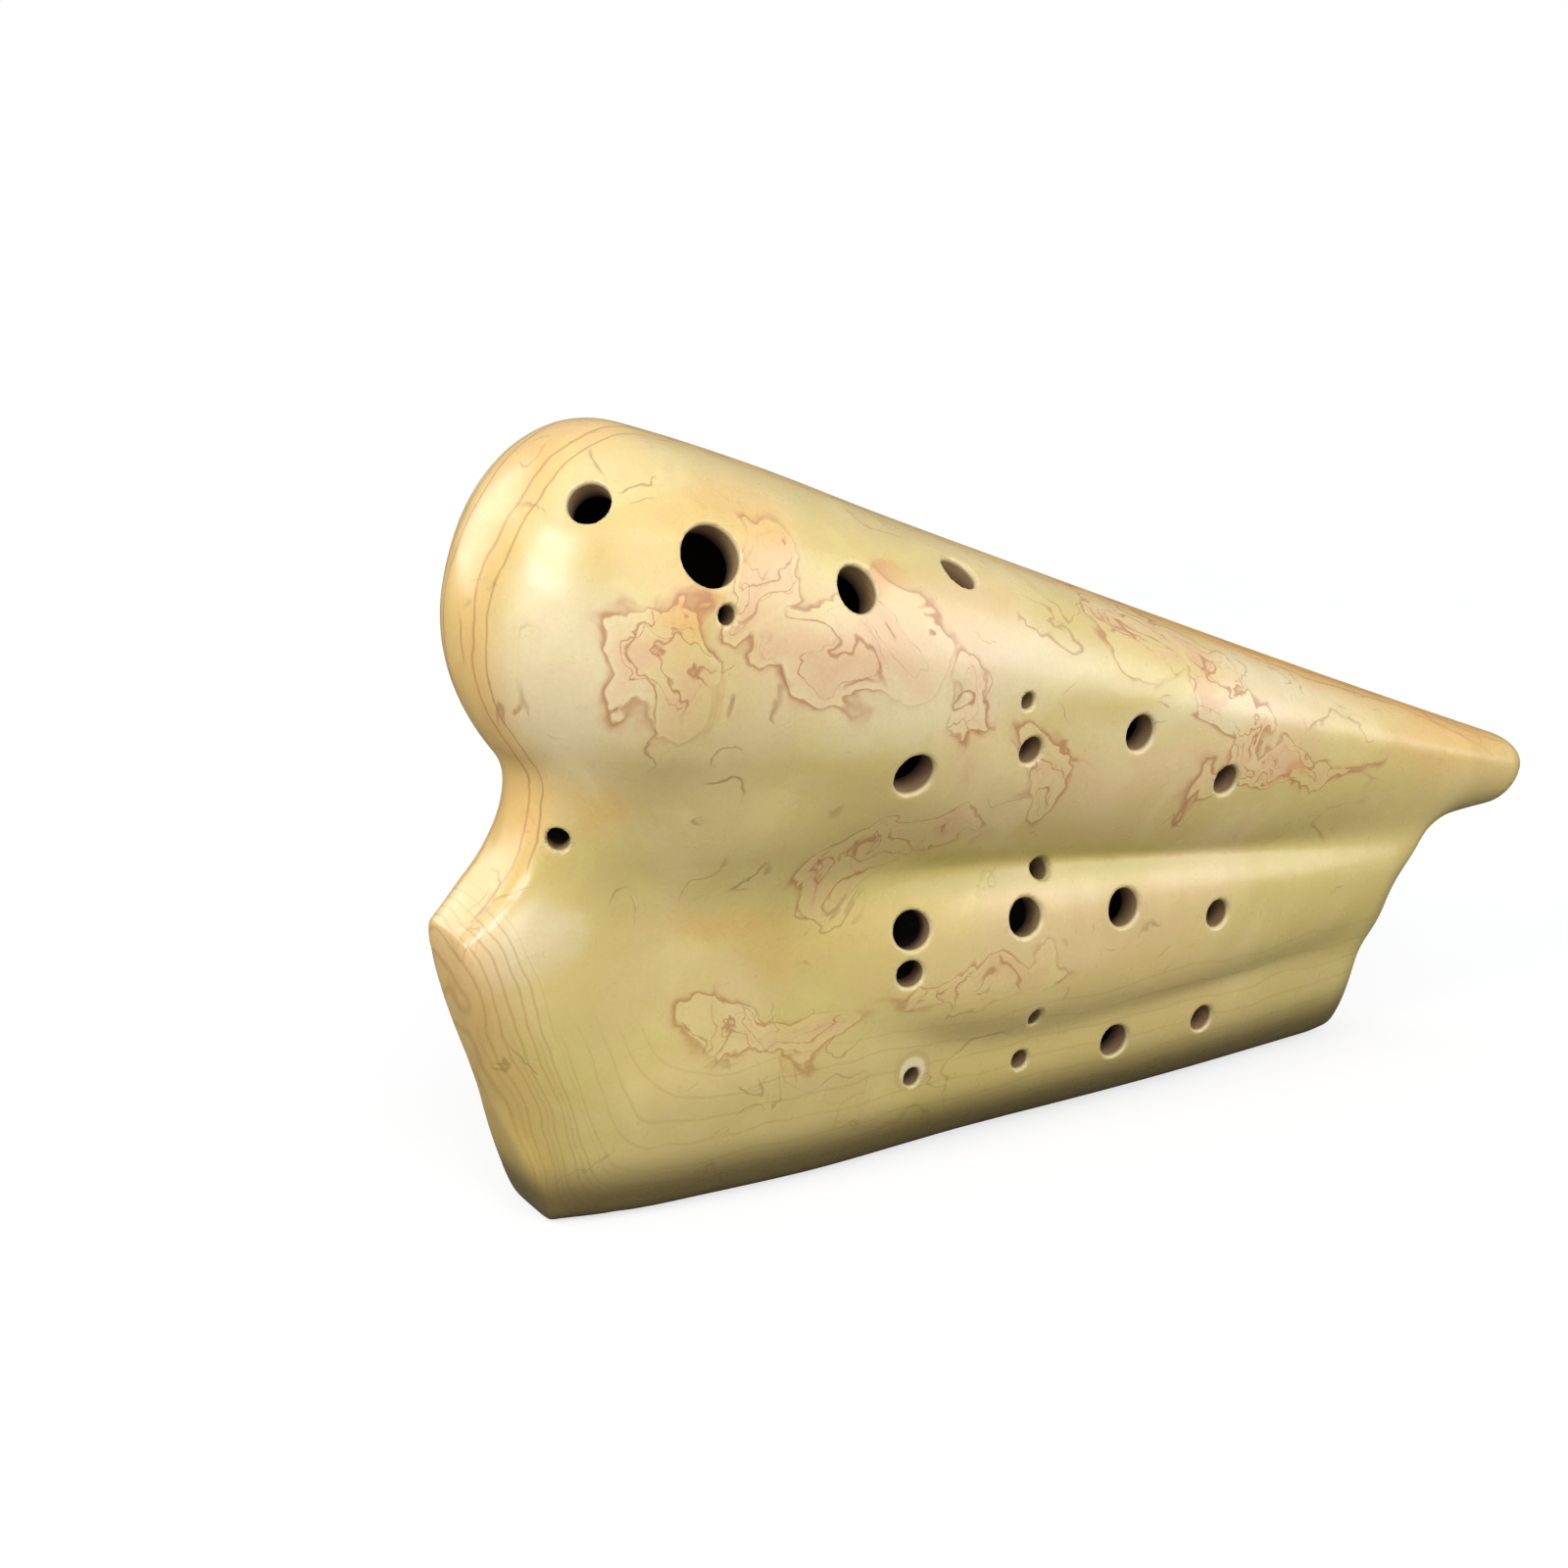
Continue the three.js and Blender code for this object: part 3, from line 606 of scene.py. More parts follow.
def roof_cutter(voice):
    """A cutter over the roof of a windway, down to the middle of the channel."""
    cos, sin = math.cos(WINDWAY_CLIMB), math.sin(WINDWAY_CLIMB)
    half = voice[0] / 2 + ROOF_SEAT
    rectangle = ((ROOF_SETBACK, -half), (ROOF_END, -half), (ROOF_END, half), (ROOF_SETBACK, half))
    corners = []
    for above in (WINDWAY_HEIGHT / 2, OVERRUN):
        for along, across in rectangle:
            x, z = in_windway(voice, along * cos - above * sin, across)
            y = WINDWAY_ENTRY + along * sin + above * cos
            corners.append((x, y, z))
    faces = [(0, 1, 2, 3), (7, 6, 5, 4)] + [(i, i + 4, (i + 1) % 4 + 4, (i + 1) % 4) for i in range(4)]
    return mesh_object("cutter", corners, faces, 1)


def changed(ob, kind, **settings):
    """The object's mesh after one modifier."""
    modifier = ob.modifiers.new(kind, kind)
    for name, value in settings.items():
        setattr(modifier, name, value)
    graph = bpy.context.evaluated_depsgraph_get()
    mesh = bpy.data.meshes.new_from_object(
        ob.evaluated_get(graph), preserve_all_data_layers=True, depsgraph=graph,
    )
    ob.modifiers.clear()
    return mesh


def cut(ob, cutter, operation):
    """A new mesh of the object inside or outside a cutter."""
    return changed(ob, "BOOLEAN", object=cutter, operation=operation, solver="MANIFOLD")


def whole_body():
    """The fired body in millimetres: fine on its rims, and thinned out where it is smooth."""
    axes = [np.arange(low, high, CELL) for low, high in zip(GRID_LOW, GRID_HIGH)]
    vertices, quads = surface_net(field_on_grid(axes), axes)
    whole = mesh_object("whole", settled(vertices).tolist(), quads.tolist())
    whole.data = changed(whole, "DECIMATE", ratio=THINNED)
    vertices = settled(values_of(whole.data.vertices, "co", 3))
    whole.data.vertices.foreach_set("co", vertices.ravel())
    return whole


def values_of(elements, name, width=1, kind=float):
    """One property of all vertices, edges, corners or faces of a mesh."""
    values = np.empty(len(elements) * width, kind)
    elements.foreach_get(name, values)
    return values.reshape(-1, width) if width > 1 else values


def pieces_of(whole):
    """The fired body's mesh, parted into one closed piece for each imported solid."""
    pieces = {}
    block = mesh_object("block", [], [])
    block.data = cut(whole, prism(BLOCK_SIDE, -OVERRUN, OVERRUN), "INTERSECT")
    for number, voice in enumerate(VOICES, 1):
        cutter = roof_cutter(voice)
        pieces[f"windway_roof_{number}"] = cut(block, cutter, "INTERSECT")
        block.data = cut(block, cutter, "DIFFERENCE")
    pieces["mouthpiece_block"] = block.data
    for name, outline in CHAMBER_SIDES.items():
        for half, low, high in (("front", -OVERRUN, 0), ("back", 0, OVERRUN)):
            pieces[f"{name}_{half}_shell"] = cut(whole, prism(outline, low, high), "INTERSECT")
    for ob in [ob for ob in bpy.data.objects if ob.name.split(".")[0] in ("whole", "block", "cutter")]:
        bpy.data.objects.remove(ob)
    return pieces


def drop_chips(mesh):
    """Keep the mesh's main island, without the thin chips that a cut leaves along a window's edge."""
    starts, ends = values_of(mesh.edges, "vertices", 2, int).T
    island, before = np.arange(len(mesh.vertices)), None
    while before is None or (island != before).any():
        before = island.copy()
        lowest = np.minimum(island[starts], island[ends])
        np.minimum.at(island, starts, lowest)
        np.minimum.at(island, ends, lowest)
        island = island[island]
    main = np.bincount(island).argmax()
    work = bmesh.new()
    work.from_mesh(mesh)
    chips = [vertex for vertex, label in zip(work.verts, island) if label != main]
    bmesh.ops.delete(work, geom=chips, context="VERTS")
    work.to_mesh(mesh)
    work.free()


def finished(name, mesh):
    """A piece in metres, shaded by the slope of the field so that no joint shows."""
    drop_chips(mesh)
    places = values_of(mesh.vertices, "co", 3)
    slopes = unit(slope_at(places)[1])
    note_depths(mesh, places, slopes)
    normals = corner_normals(mesh, slopes)
    mesh.polygons.foreach_set("material_index", [0] * len(mesh.polygons))
    mesh.materials.clear()
    mesh.materials.append(CLAY)
    shift = np.array([FRAME_SHIFT, 0, 0])
    mesh.vertices.foreach_set("co", ((places + shift) * MM).ravel())
    mesh.shade_smooth()
    mesh.normals_split_custom_set(normals.tolist())
    ob = bpy.data.objects.new(f"fired_{name}", mesh)
    bpy.context.scene.collection.objects.link(ob)
    return ob


def note_depths(mesh, places, slopes):
    """Write on the vertices how deep they lie under the skin, and how hollow the skin is round them."""
    depth = -skin_at(places)
    hollow = 1 - (skin_at(places + HOLLOW_REACH * slopes) + np.maximum(depth, 0)) / HOLLOW_REACH
    for label, values in (("depth", depth), ("hollow", hollow)):
        mesh.attributes.new(label, "FLOAT", "POINT").data.foreach_set("value", values)


def corner_normals(mesh, slopes):
    """The normal at each corner of each face: the field's slope, or the face's own where it is a cut."""
    counts = values_of(mesh.polygons, "loop_total", kind=int)
    is_cut = np.repeat(values_of(mesh.polygons, "material_index", kind=int) > 0, counts)
    flat = np.repeat(values_of(mesh.polygons, "normal", 3), counts, axis=0)
    corners = values_of(mesh.loops, "vertex_index", kind=int)
    return np.where(is_cut[:, None], flat, slopes[corners])


def unit(vectors):
    """The vectors at a length of one."""
    return vectors / np.maximum(np.linalg.norm(vectors, axis=1, keepdims=True), TINY)


def skin_at(places):
    """The field of the skin before it is cut, at separate places."""
    x, y, z = places.T
    return body(x, y, z)[0]


CLAY = bpy.data.materials.new("burnished_clay")
CUT = bpy.data.materials.new("cut")

for name, mesh in pieces_of(whole_body()).items():
    piece = finished(name, mesh)
    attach(piece, "root")
    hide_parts(name)

bpy.data.materials.remove(CUT)


class Pattern:
    """Short calls for the nodes of one material, over places in millimetres."""

    def __init__(self, material):
        material.use_nodes = True
        self.tree = material.node_tree
        self.shader = self.tree.nodes["Principled BSDF"]
        spot = self.add("ShaderNodeTexCoord").outputs["Object"]
        scaled = {"Vector": spot, "Location": (-FRAME_SHIFT, 0, 0), "Scale": (1 / MM, 1 / MM, 1 / MM)}
        self.place = self.add("ShaderNodeMapping", scaled).outputs[0]
        self.x, self.y, self.z = self.add("ShaderNodeSeparateXYZ", {0: self.place}).outputs

    def add(self, kind, inputs=None, **settings):
        node = self.tree.nodes.new(kind)
        for name, value in settings.items():
            setattr(node, name, value)
        for key, value in (inputs or {}).items():
            if isinstance(value, bpy.types.NodeSocket):
                self.tree.links.new(value, node.inputs[key])
            else:
                node.inputs[key].default_value = value
        return node

    def math(self, operation, *values):
        return self.add("ShaderNodeMath", dict(enumerate(values)), operation=operation).outputs[0]

    def most(self, *values):
        most = values[0]
        for value in values[1:]:
            most = self.math("MAXIMUM", most, value)
        return most

    def vector(self, operation, *values):
        return self.add("ShaderNodeVectorMath", dict(enumerate(values)), operation=operation).outputs[0]

    def length(self, vector):
        return self.add("ShaderNodeVectorMath", {0: vector}, operation="LENGTH").outputs["Value"]

    def noise(self, place, scale, detail=2.0, roughness=0.5, output="Fac"):
        """A soft random value round 0.5, or with the output Color three of them."""
        inputs = {"Vector": place, "Scale": scale, "Detail": detail, "Roughness": roughness}
        return self.add("ShaderNodeTexNoise", inputs).outputs[output]

    def moved(self, place, scale, amount, detail=2.0):
        """A place pushed about by a noise."""
        push = self.vector("SUBTRACT", self.noise(place, scale, detail, output="Color"), (0.5, 0.5, 0.5))
        return self.vector("ADD", place, self.vector("MULTIPLY", push, (amount, amount, amount)))

    def offset(self, place, scale, amount):
        """A soft random shift of one value, up to about a third of the amount each way."""
        return self.times(self.math("SUBTRACT", self.noise(place, scale), 0.5), amount)

    def smooth(self, value, low, high, start=0.0, end=1.0):
        """A smooth step from start to end, as a value goes from low to high."""
        inputs = {0: value, 1: low, 2: high, 3: start, 4: end}
        return self.add("ShaderNodeMapRange", inputs, interpolation_type="SMOOTHSTEP").outputs[0]

    def mix(self, factor, first, second):
        return self.add("ShaderNodeMix", {0: factor, 6: first, 7: second}, data_type="RGBA").outputs[2]

    def vein(self, value, level, width):
        """A thin line where a value passes a level."""
        away = self.math("ABSOLUTE", self.math("SUBTRACT", value, level))
        return self.smooth(away, 0, width, 1, 0)

    def rings(self, value, spacing, width):
        """Thin lines at every step of a value."""
        return self.vein(self.math("FRACT", self.math("DIVIDE", value, spacing)), 0.5, width)

    def patches(self, place, spots, inner=0.45, melt=0.0):
        """How far a place lies in any of several soft patches, which may melt together."""
        together = 0.0
        for centre, radii in spots:
            away = self.length(self.vector("DIVIDE", self.vector("SUBTRACT", place, centre), radii))
            together = self.math("SMOOTH_MAX", self.smooth(away, inner, 1, 1, 0), together, melt)
        return together

    def times(self, *values):
        product = values[0]
        for value in values[1:]:
            product = self.math("MULTIPLY", product, value)
        return product

    def attribute(self, name):
        return self.add("ShaderNodeAttribute", attribute_name=name).outputs["Fac"]

    def link(self, output, name):
        self.tree.links.new(output, self.shader.inputs[name])


# Colours of the fired clay, in linear light
OLIVE_CREAM = (0.69, 0.57, 0.21, 1)
WARM_CREAM = (0.81, 0.65, 0.32, 1)
BUFF = (0.80, 0.60, 0.25, 1)
PALE_CREAM_AND_HIGHLIGHT = (0.86, 0.75, 0.52, 1)
ROSE = (0.83, 0.61, 0.37, 1)
PINK = (0.74, 0.42, 0.25, 1)
RUST = (0.68, 0.29, 0.11, 1)
ORANGE = (0.80, 0.49, 0.14, 1)
CREST_ORANGE = (0.84, 0.46, 0.10, 1)
LIP_ORANGE = (0.76, 0.45, 0.15, 1)
CLOSE_LAYER_BROWN = (0.46, 0.24, 0.08, 1)
WIDE_LAYER_BROWN = (0.46, 0.27, 0.10, 1)
VEIL_BROWN = (0.55, 0.28, 0.08, 1)
CREST_BROWN = (0.45, 0.22, 0.08, 1)
RED_BROWN = (0.46, 0.19, 0.08, 1)
VEIN_BROWN = (0.36, 0.17, 0.07, 1)
DASH_BROWN = (0.27, 0.15, 0.06, 1)
GRAIN_BROWN = (0.40, 0.30, 0.12, 1)
# Painted shade rather than colours of the clay: darker low down, in the hollows and along the foot
PAINTED_LOW_SHADE = (0.36, 0.30, 0.06, 1)
PAINTED_HOLLOW_SHADE = (0.38, 0.33, 0.06, 1)
PAINTED_FOOT_SHADOW = (0.11, 0.08, 0.03, 1)
RING_CREAM = (0.80, 0.70, 0.48, 1)
RIM_CREAM = (0.86, 0.74, 0.50, 1)
WALL_BROWN = (0.34, 0.21, 0.10, 1)
# Painted shade deep inside the holes and chambers
PAINTED_HOLE_SHADE = (0.035, 0.022, 0.013, 1)

# Middle and radii of the patches of each clay, in millimetres
PINK_CLAY = (
    ((11, -24, 83), (10, 30, 10)), ((27, -24, 90), (7, 30, 11)), ((34, -25, 78), (10, 30, 8)),
    ((44, -25, 80), (11, 30, 9)), ((54, -24, 68), (8, 30, 9)), ((71, -21, 57), (8, 30, 10)),
    ((93, -12, 76), (8, 30, 7)), ((100, -17, 67), (7, 30, 8)), ((106, -18, 57), (8, 30, 8)),
    ((116, -16, 48), (24, 30, 5)), ((66, -17, 28), (17, 30, 4)), ((32, -14, 27), (19, 30, 8)),
    ((46, -18, 49), (15, 30, 4)),
    ((52, 23, 74), (24, 22, 9)), ((96, 16, 50), (20, 16, 7)), ((70, 14, 26), (22, 12, 5)),
)
ORANGE_CLAY = (
    ((20, -22, 98), (22, 26, 11)), ((14, -24, 87), (7, 26, 6)), ((156, -6, 51), (34, 26, 10)),
    ((1, -8, 63), (8, 20, 11)), ((30, -15, 41), (24, 20, 5)), ((14, 20, 98), (26, 20, 13)),
    ((80, 18, 66), (30, 14, 9)),
)
ROSE_CLAY = (
    ((96, -18, 52), (42, 30, 9)), ((50, -24, 80), (34, 30, 12)), ((86, -15, 33), (34, 30, 8)),
    ((60, 22, 70), (40, 30, 14)), ((30, 12, 30), (30, 20, 12)),
)
RUST_CLAY = (((15, -24, 88), (5, 30, 5)), ((47, -22, 87), (6, 30, 4)), ((118, -16, 47), (9, 30, 2)))
# Pale cream clay; the front patches on the head and the flanks are also a painted highlight
CREAM_CLAY_AND_HIGHLIGHT = (
    ((56, -24, 73), (44, 22, 12)), ((110, -16, 62), (48, 20, 8)), ((-1, -20, 80), (13, 22, 20)),
    ((-6, -9, 40), (10, 20, 8)), ((60, 22, 62), (46, 22, 14)), ((24, 14, 34), (20, 20, 12)),
)
RINGED_HOLE = (55.2, -14.2, 14.2)  # the small hole that has a pale ring
SCRIBBLE_VEINS = ((0.43, 0.007), (0.5, 0.006), (0.56, 0.007))  # level and width of each


class Marble(Pattern):
    """The colour of the marbled clay, painted in layers over its ground."""

    def __init__(self, material):
        super().__init__(material)
        self.swept = self.moved(self.moved(self.place, 0.024, 30), 0.1, 9, 3)
        self.curled = self.moved(self.swept, 0.32, 2.1, 3)
        self.swirled = self.moved(self.swept, 0.1, 15, 3)
        self.tone = self.noise(self.swept, 0.03, 3)
        self.colour = self.mix(self.smooth(self.tone, 0.35, 0.65), OLIVE_CREAM, WARM_CREAM)

    def paint(self, share, colour):
        self.colour = self.mix(share, self.colour, colour)

    def clouds(self):
        """Soft clouds of buff, cream and rose, the cream on the front partly a painted highlight."""
        self.paint(self.smooth(self.noise(self.place, 0.017, 1), 0.52, 0.66, 0, 0.5), BUFF)
        # partly painted highlight: pale cream where the front of the head and the flanks catch the light
        self.paint(self.times(self.patches(self.swept, CREAM_CLAY_AND_HIGHLIGHT, 0.3), 0.6), PALE_CREAM_AND_HIGHLIGHT)
        self.paint(self.times(self.patches(self.swept, ROSE_CLAY, 0.3), 0.5), ROSE)

    def pink_clay(self):
        """Broken pink patches, and a few of rust."""
        broken = self.smooth(self.noise(self.swept, 0.07, 3), 0.3, 0.5)
        pink = self.times(self.patches(self.swirled, PINK_CLAY, 0.3), broken)
        wash = self.smooth(self.noise(self.swirled, 0.09, 3), 0.36, 0.62, 0.2, 0.65)
        self.paint(self.times(pink, wash), PINK)
        self.paint(self.times(self.patches(self.swirled, RUST_CLAY, 0.2), 0.6), RUST)

    def orange_clay(self):
        """Orange patches. Returns how strong they are."""
        patches = self.patches(self.curled, ORANGE_CLAY, 0.3)
        orange = self.times(patches, self.smooth(self.tone, 0.3, 0.7, 0.5, 1))
        self.paint(self.times(orange, 0.65), ORANGE)
        return orange

    def crest(self):
        """How far aside of the crest a place lies, and how fully it lies at the crest's height."""
        shift = self.math("ADD", self.offset(self.place, 0.035, 9), self.offset(self.place, 0.2, 1.6))
        aside = self.math("ABSOLUTE", self.math("ADD", self.y, shift))
        over = self.math("MULTIPLY_ADD", self.x, math.tan(-CHAMBER_1.slope), self.z)
        along = self.most(self.smooth(self.x, 20, 60, 1, 0), self.smooth(over, 87, 93))
        return aside, self.times(along, self.smooth(self.z, 36, 56))

    def crest_band(self, aside, height):
        """An orange band over the head and along the top of the upper chamber."""
        strength = self.most(self.smooth(self.x, 0, 26, 0.5, 0.4), self.smooth(self.x, 60, 115))
        self.paint(self.times(self.smooth(aside, 4, 12, 1, 0), height, strength), CREST_ORANGE)

    def crest_veins(self, aside, height):
        """Two brown veins on each side of the crest."""
        veins = self.most(self.vein(aside, 4.6, 0.45), self.vein(aside, 7.4, 0.35))
        strength = self.most(self.smooth(self.x, 10, 24, 1, 0.45), self.smooth(self.x, 90, 130))
        self.paint(self.times(veins, height, strength, 0.75), CREST_BROWN)

    def lip_layers(self):
        """Orange clay at the lip's end, and thin layers that follow it down and round."""
        lean = math.radians(MOUTH_LEAN)
        inward = self.math("ADD", self.times(self.x, math.cos(lean)), self.times(self.z, math.sin(lean)))
        upward = self.math("MULTIPLY_ADD", self.z, 0.85, 2.5)
        layer = self.math("SMOOTH_MIN", inward, upward, 8)
        layer = self.math("ADD", layer, self.offset(self.place, 0.07, 4))
        neck = self.smooth(self.z, 44, 54, 1, 0)
        low_down = self.smooth(self.z, 24, 34, 1, 0)
        close, wide = self.rings(layer, 1.35, 0.18), self.rings(layer, 2.7, 0.1)
        self.paint(self.times(self.smooth(layer, 0.5, 7.5, 1, 0), neck, 0.62), LIP_ORANGE)
        self.paint(self.times(close, self.smooth(layer, 7, 10, 1, 0), neck, 0.5), CLOSE_LAYER_BROWN)
        self.paint(self.times(wide, self.smooth(layer, 18, 25, 1, 0), low_down, 0.34), WIDE_LAYER_BROWN)

    def veils(self, orange):
        """Faint lines within the orange clay."""
        lines = self.rings(self.noise(self.curled, 0.07, 3), 0.05, 0.16)
        self.paint(self.times(lines, self.smooth(orange, 0.2, 0.7), 0.2), VEIL_BROWN)

    def tangled_veins(self):
        """Veins in and round the pink clay."""
        scribble = self.noise(self.curled, 0.034, 3, 0.55)
        lines = self.most(*(self.vein(scribble, *vein) for vein in SCRIBBLE_VEINS))
        inside = self.smooth(self.patches(self.curled, PINK_CLAY, 0, 0.3), 0.15, 0.42)
        edges = self.patches(self.moved(self.swirled, 0.32, 2.1, 3), PINK_CLAY, 0, 0.3)
        fading = self.smooth(self.noise(self.curled, 0.1), 0.34, 0.54, 0.3, 1)
        return self.most(self.times(lines, inside), self.times(self.rings(edges, 0.4, 0.05), fading))

    def long_veins(self):
        """A few veins that run far over the body."""
        streams = self.noise(self.curled, 0.036, 2.5)
        lines = self.most(self.vein(streams, 0.46, 0.006), self.vein(streams, 0.58, 0.005))
        return self.times(lines, self.smooth(self.noise(self.place, 0.045), 0.52, 0.6))

    def dashes(self):
        """Short dark strokes here and there."""
        strokes = self.vein(self.noise(self.curled, 0.11, 1), 0.5, 0.014)
        elsewhere = self.vector("ADD", self.place, (40, 70, 10))
        return self.times(strokes, self.smooth(self.noise(elsewhere, 0.1, 1), 0.62, 0.68))

    def shade(self, grain):
        """Painted shade low down and in the hollows, a painted shadow at the foot, and a fine grain."""
        # painted shade: olive and darker towards the bottom, where less light falls
        self.paint(self.smooth(self.z, 2, 50, 0.52, 0), PAINTED_LOW_SHADE)
        # painted shadow: a near-black band along the foot, where the body meets the ground
        self.paint(self.smooth(self.z, 3.5, 11.5, 0.9, 0), PAINTED_FOOT_SHADOW)
        # painted shade: olive darkening in the creases and hollows, by how hollow the skin is round each
        # vertex
        self.paint(self.times(self.smooth(self.attribute("hollow"), 0.05, 0.6), 0.75), PAINTED_HOLLOW_SHADE)
        self.paint(self.smooth(grain, 0.3, 0.75, 0.12, 0), GRAIN_BROWN)

    def holes(self, depth):
        """A ring round one hole, pale rims, bare walls, and painted shade deeper in."""
        away = self.length(self.vector("SUBTRACT", self.place, RINGED_HOLE))
        self.paint(self.times(self.vein(away, 3.0, 0.6), 0.4), GRAIN_BROWN)
        self.paint(self.times(self.smooth(away, 2.1, 2.5, 1, 0), 0.6), RING_CREAM)
        self.paint(self.smooth(depth, 0.04, 0.3, 0, 0.5), RIM_CREAM)
        self.paint(self.smooth(depth, 0.35, 1.0), WALL_BROWN)
        # painted shade: near black deep in the holes and chambers, where little light reaches
        self.paint(self.smooth(depth, 1.2, 4.5), PAINTED_HOLE_SHADE)


COAT_WEIGHT = 0.22
COAT_ROUGHNESS = 0.2
BARE_ROUGHNESS = 0.8
BUMP_STRENGTH = 0.6
BUMP_HEIGHT = 0.0002


def fire_clay(material):
    """Pale clay marbled with brown, pink and orange, burnished outside and bare inside."""
    p = Marble(material)
    p.clouds()
    p.pink_clay()
    orange = p.orange_clay()
    aside, crest_height = p.crest()
    p.crest_band(aside, crest_height)
    p.lip_layers()
    p.veils(orange)
    p.crest_veins(aside, crest_height)
    tangled, long_veins, dashes = p.tangled_veins(), p.long_veins(), p.dashes()
    p.paint(p.times(tangled, 0.85), RED_BROWN)
    p.paint(p.times(long_veins, 0.62), VEIN_BROWN)
    p.paint(p.times(dashes, 0.6), DASH_BROWN)
    grain = p.noise(p.place, 1.6, 4, 0.65)
    p.shade(grain)
    depth = p.attribute("depth")
    p.holes(depth)
    p.link(p.colour, "Base Color")
    bare = p.smooth(depth, 0.2, 0.8)
    burnish(p, bare, p.most(tangled, long_veins))
    dent(p, bare, grain, p.most(dashes, long_veins))


def burnish(p, bare, veins):
    """A satin shine outside that is a little duller on the veins, and bare clay in the holes."""
    gloss = p.smooth(p.noise(p.place, 0.25, 3), 0.3, 0.7, 0.24, 0.36)
    rough = p.math("ADD", gloss, p.times(veins, 0.1))
    p.link(p.most(rough, p.times(bare, BARE_ROUGHNESS)), "Roughness")
    p.shader.inputs["Coat Weight"].default_value = COAT_WEIGHT
    p.shader.inputs["Coat Roughness"].default_value = COAT_ROUGHNESS


def dent(p, bare, grain, veins):
    """Soft dents from the burnishing, a grain that is stronger on bare clay, and sunken veins."""
    grain_height = p.times(grain, p.math("MULTIPLY_ADD", bare, 0.8, 0.07))
    height = p.math("ADD", p.times(p.noise(p.place, 0.13), 0.8), grain_height)
    height = p.math("SUBTRACT", height, p.times(veins, 0.1))
    bump = p.add("ShaderNodeBump", {"Strength": BUMP_STRENGTH, "Distance": BUMP_HEIGHT, "Height": height})
    p.link(bump.outputs[0], "Normal")


fire_clay(CLAY)


FLOOR_SIZE = 6.0
FLOOR_SEEN = (0.95, 0.95, 0.95, 1)
FLOOR_UNSEEN = (0.07, 0.065, 0.055, 1)
FLOOR_ROUGHNESS = 0.9
FLOOR_FADE = (150, 600, 0.7, 1)  # from one distance in millimetres to another, shares of plain white
WHITE = (1, 1, 1, 1)


def stage():
    """A pale floor, white to the camera but for the object's shadow, and dim to everything else."""
    bpy.ops.mesh.primitive_plane_add(size=FLOOR_SIZE)
    floor = bpy.context.object
    floor.name = "floor"
    material = bpy.data.materials.new("floor")
    p = Pattern(material)
    p.shader.inputs["Roughness"].default_value = FLOOR_ROUGHNESS
    seen = p.add("ShaderNodeLightPath").outputs["Is Camera Ray"]
    p.link(p.mix(seen, FLOOR_UNSEEN, FLOOR_SEEN), "Base Color")
    white = p.add("ShaderNodeEmission", {"Color": WHITE}).outputs[0]
    share = p.times(seen, p.smooth(p.length(p.place), *FLOOR_FADE))
    both = p.add("ShaderNodeMixShader", {0: share, 1: p.shader.outputs["BSDF"], 2: white}).outputs[0]
    p.tree.links.new(both, p.tree.nodes["Material Output"].inputs["Surface"])
    floor.data.materials.append(material)


stage()


CAMERA_TARGET = Vector((41.6 + FRAME_SHIFT, 0, 55.7)) * MM
CAMERA_TURN, CAMERA_TILT = math.radians(30), math.radians(16.5)
CAMERA_AWAY = 0.4
CAMERA_LENS = 65.25
CAMERA_SENSOR = 36.0


def add_camera():
    """A camera at the photograph's viewing angle."""
    away = Vector((
        -math.sin(CAMERA_TURN) * math.cos(CAMERA_TILT),
        -math.cos(CAMERA_TURN) * math.cos(CAMERA_TILT),
        math.sin(CAMERA_TILT),
    ))
    camera = bpy.data.cameras.new("camera")
    camera.lens = CAMERA_LENS
    camera.sensor_width = CAMERA_SENSOR
    ob = bpy.data.objects.new("camera", camera)
    ob.location = CAMERA_TARGET + away * CAMERA_AWAY
    ob.rotation_euler = away.to_track_quat("Z", "Y").to_euler()
    bpy.context.scene.collection.objects.link(ob)
    bpy.context.scene.camera = ob


add_camera()


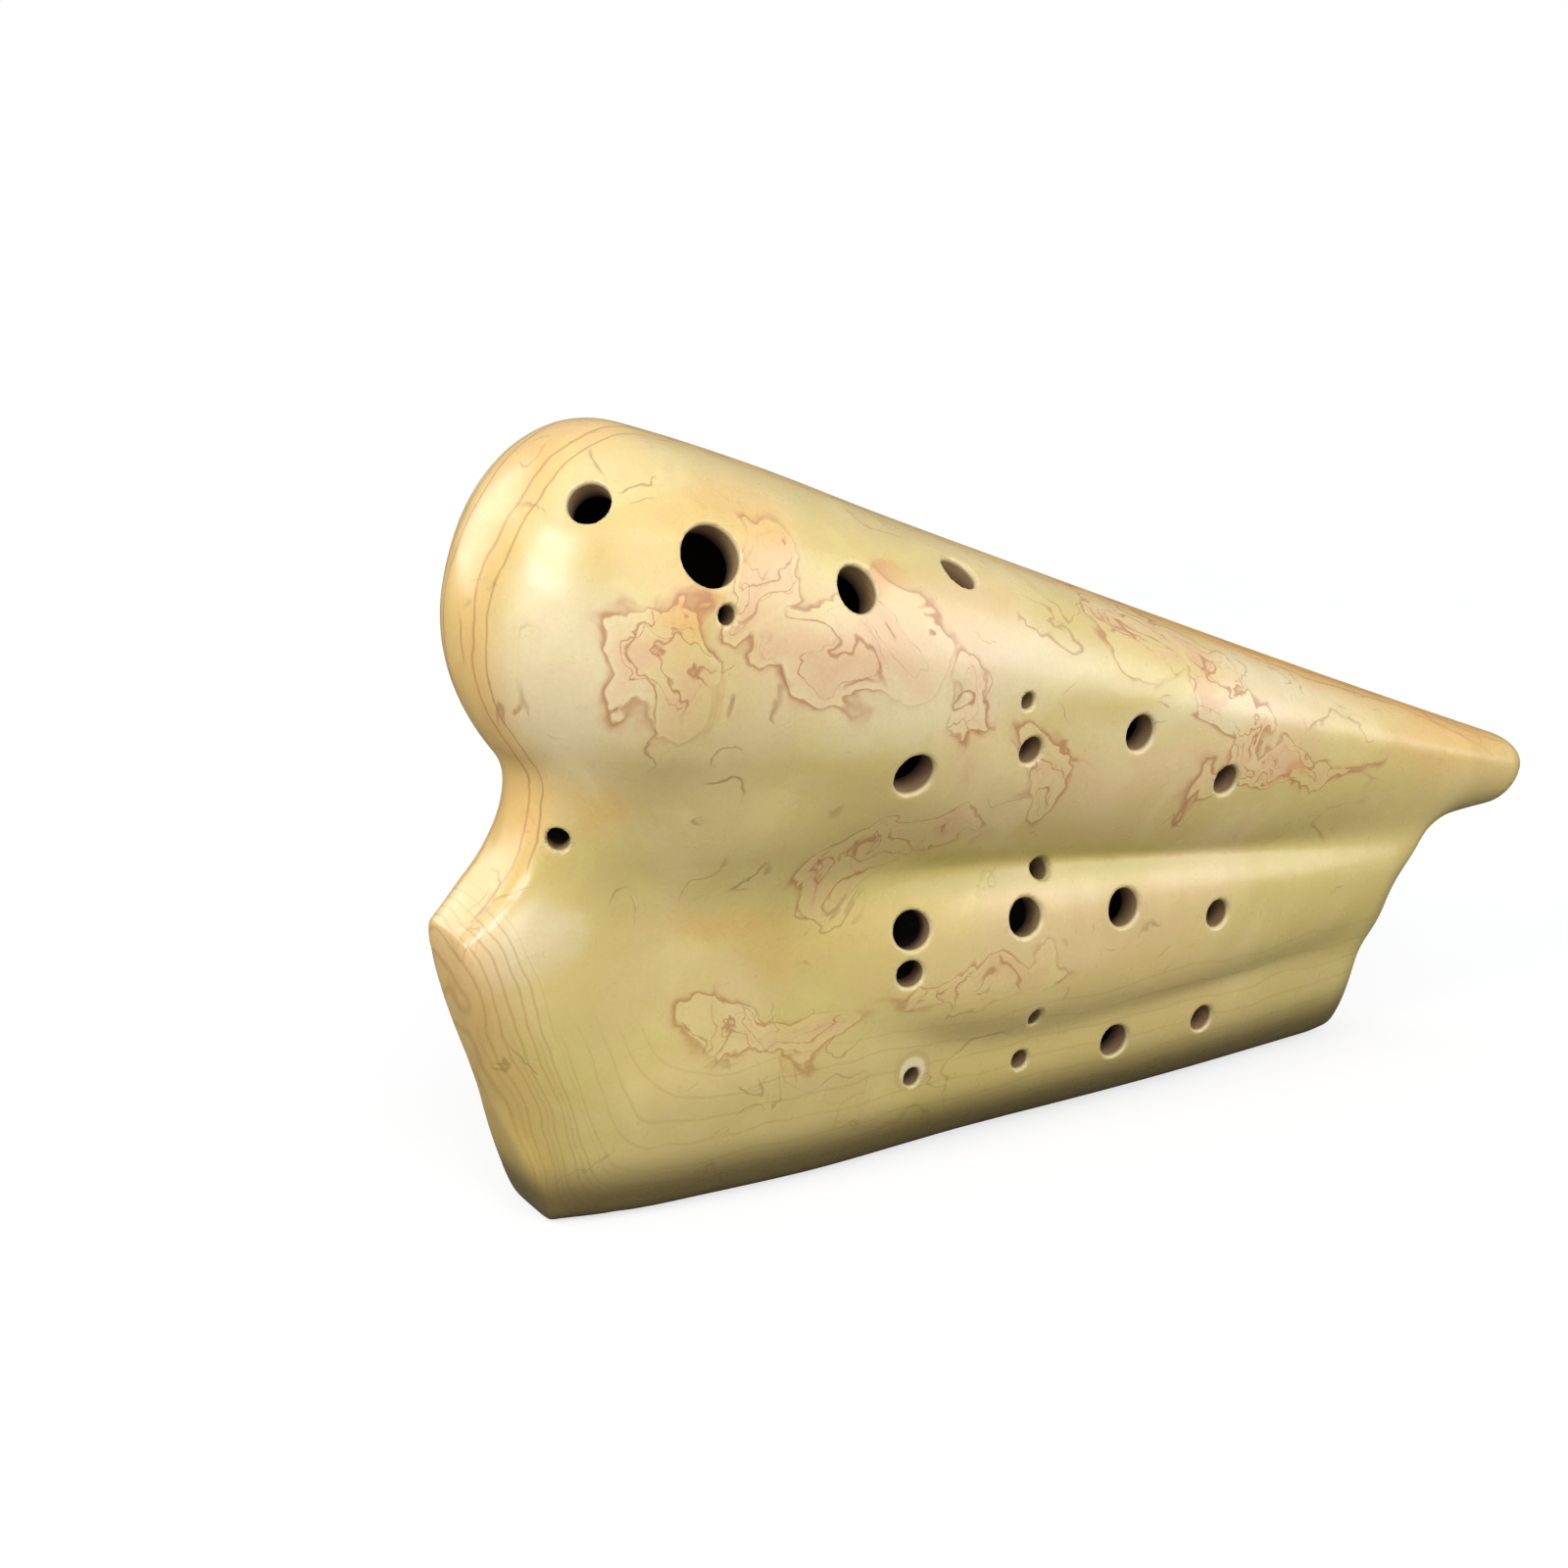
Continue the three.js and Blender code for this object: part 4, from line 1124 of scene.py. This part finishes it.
# Name, place and size in metres, and power in watts of each lamp
LAMPS = (
    ("left", (-0.95, -0.15, 0.5), 0.45, 6.2),
    ("right", (0.85, -0.65, 0.45), 0.9, 7),
    ("front", (-0.3, -0.95, 0.6), 1.0, 7.9),
    ("behind", (-0.6, 0.85, 0.42), 0.7, 4.5),
)


def add_lamp(name, place, size, power):
    """A soft lamp that points at the middle of the view."""
    light = bpy.data.lights.new(name, "AREA")
    light.size = size
    light.energy = power
    ob = bpy.data.objects.new(name, light)
    ob.location = place
    ob.rotation_euler = (Vector(place) - CAMERA_TARGET).to_track_quat("Z", "Y").to_euler()
    bpy.context.scene.collection.objects.link(ob)


for lamp in LAMPS:
    add_lamp(*lamp)

scene = bpy.context.scene
scene.view_settings.view_transform = "Standard"

# Place on the ramp from the ground up, and colour
WORLD_GROUND = (0.0, (0.12, 0.12, 0.11, 1))
WORLD_SKY = (0.6, (0.56, 0.58, 0.60, 1))


def light_world():
    """White behind the object for the camera, and a soft sky over a dim ground for its light."""
    world = bpy.data.worlds.new("world")
    world.use_nodes = True
    nodes, links = world.node_tree.nodes, world.node_tree.links
    background = nodes["Background"]
    place = nodes.new("ShaderNodeTexCoord")
    split = nodes.new("ShaderNodeSeparateXYZ")
    ramp = nodes.new("ShaderNodeValToRGB")
    for element, (position, colour) in zip(ramp.color_ramp.elements, (WORLD_GROUND, WORLD_SKY)):
        element.position = position
        element.color = colour
    links.new(place.outputs["Generated"], split.inputs["Vector"])
    links.new(split.outputs["Z"], ramp.inputs["Fac"])
    links.new(ramp.outputs["Color"], background.inputs["Color"])
    white = nodes.new("ShaderNodeBackground")
    white.inputs["Color"].default_value = WHITE
    mix = nodes.new("ShaderNodeMixShader")
    ray = nodes.new("ShaderNodeLightPath")
    links.new(ray.outputs["Is Camera Ray"], mix.inputs["Fac"])
    links.new(background.outputs["Background"], mix.inputs[1])
    links.new(white.outputs["Background"], mix.inputs[2])
    links.new(mix.outputs["Shader"], nodes["World Output"].inputs["Surface"])
    scene.world = world


light_world()
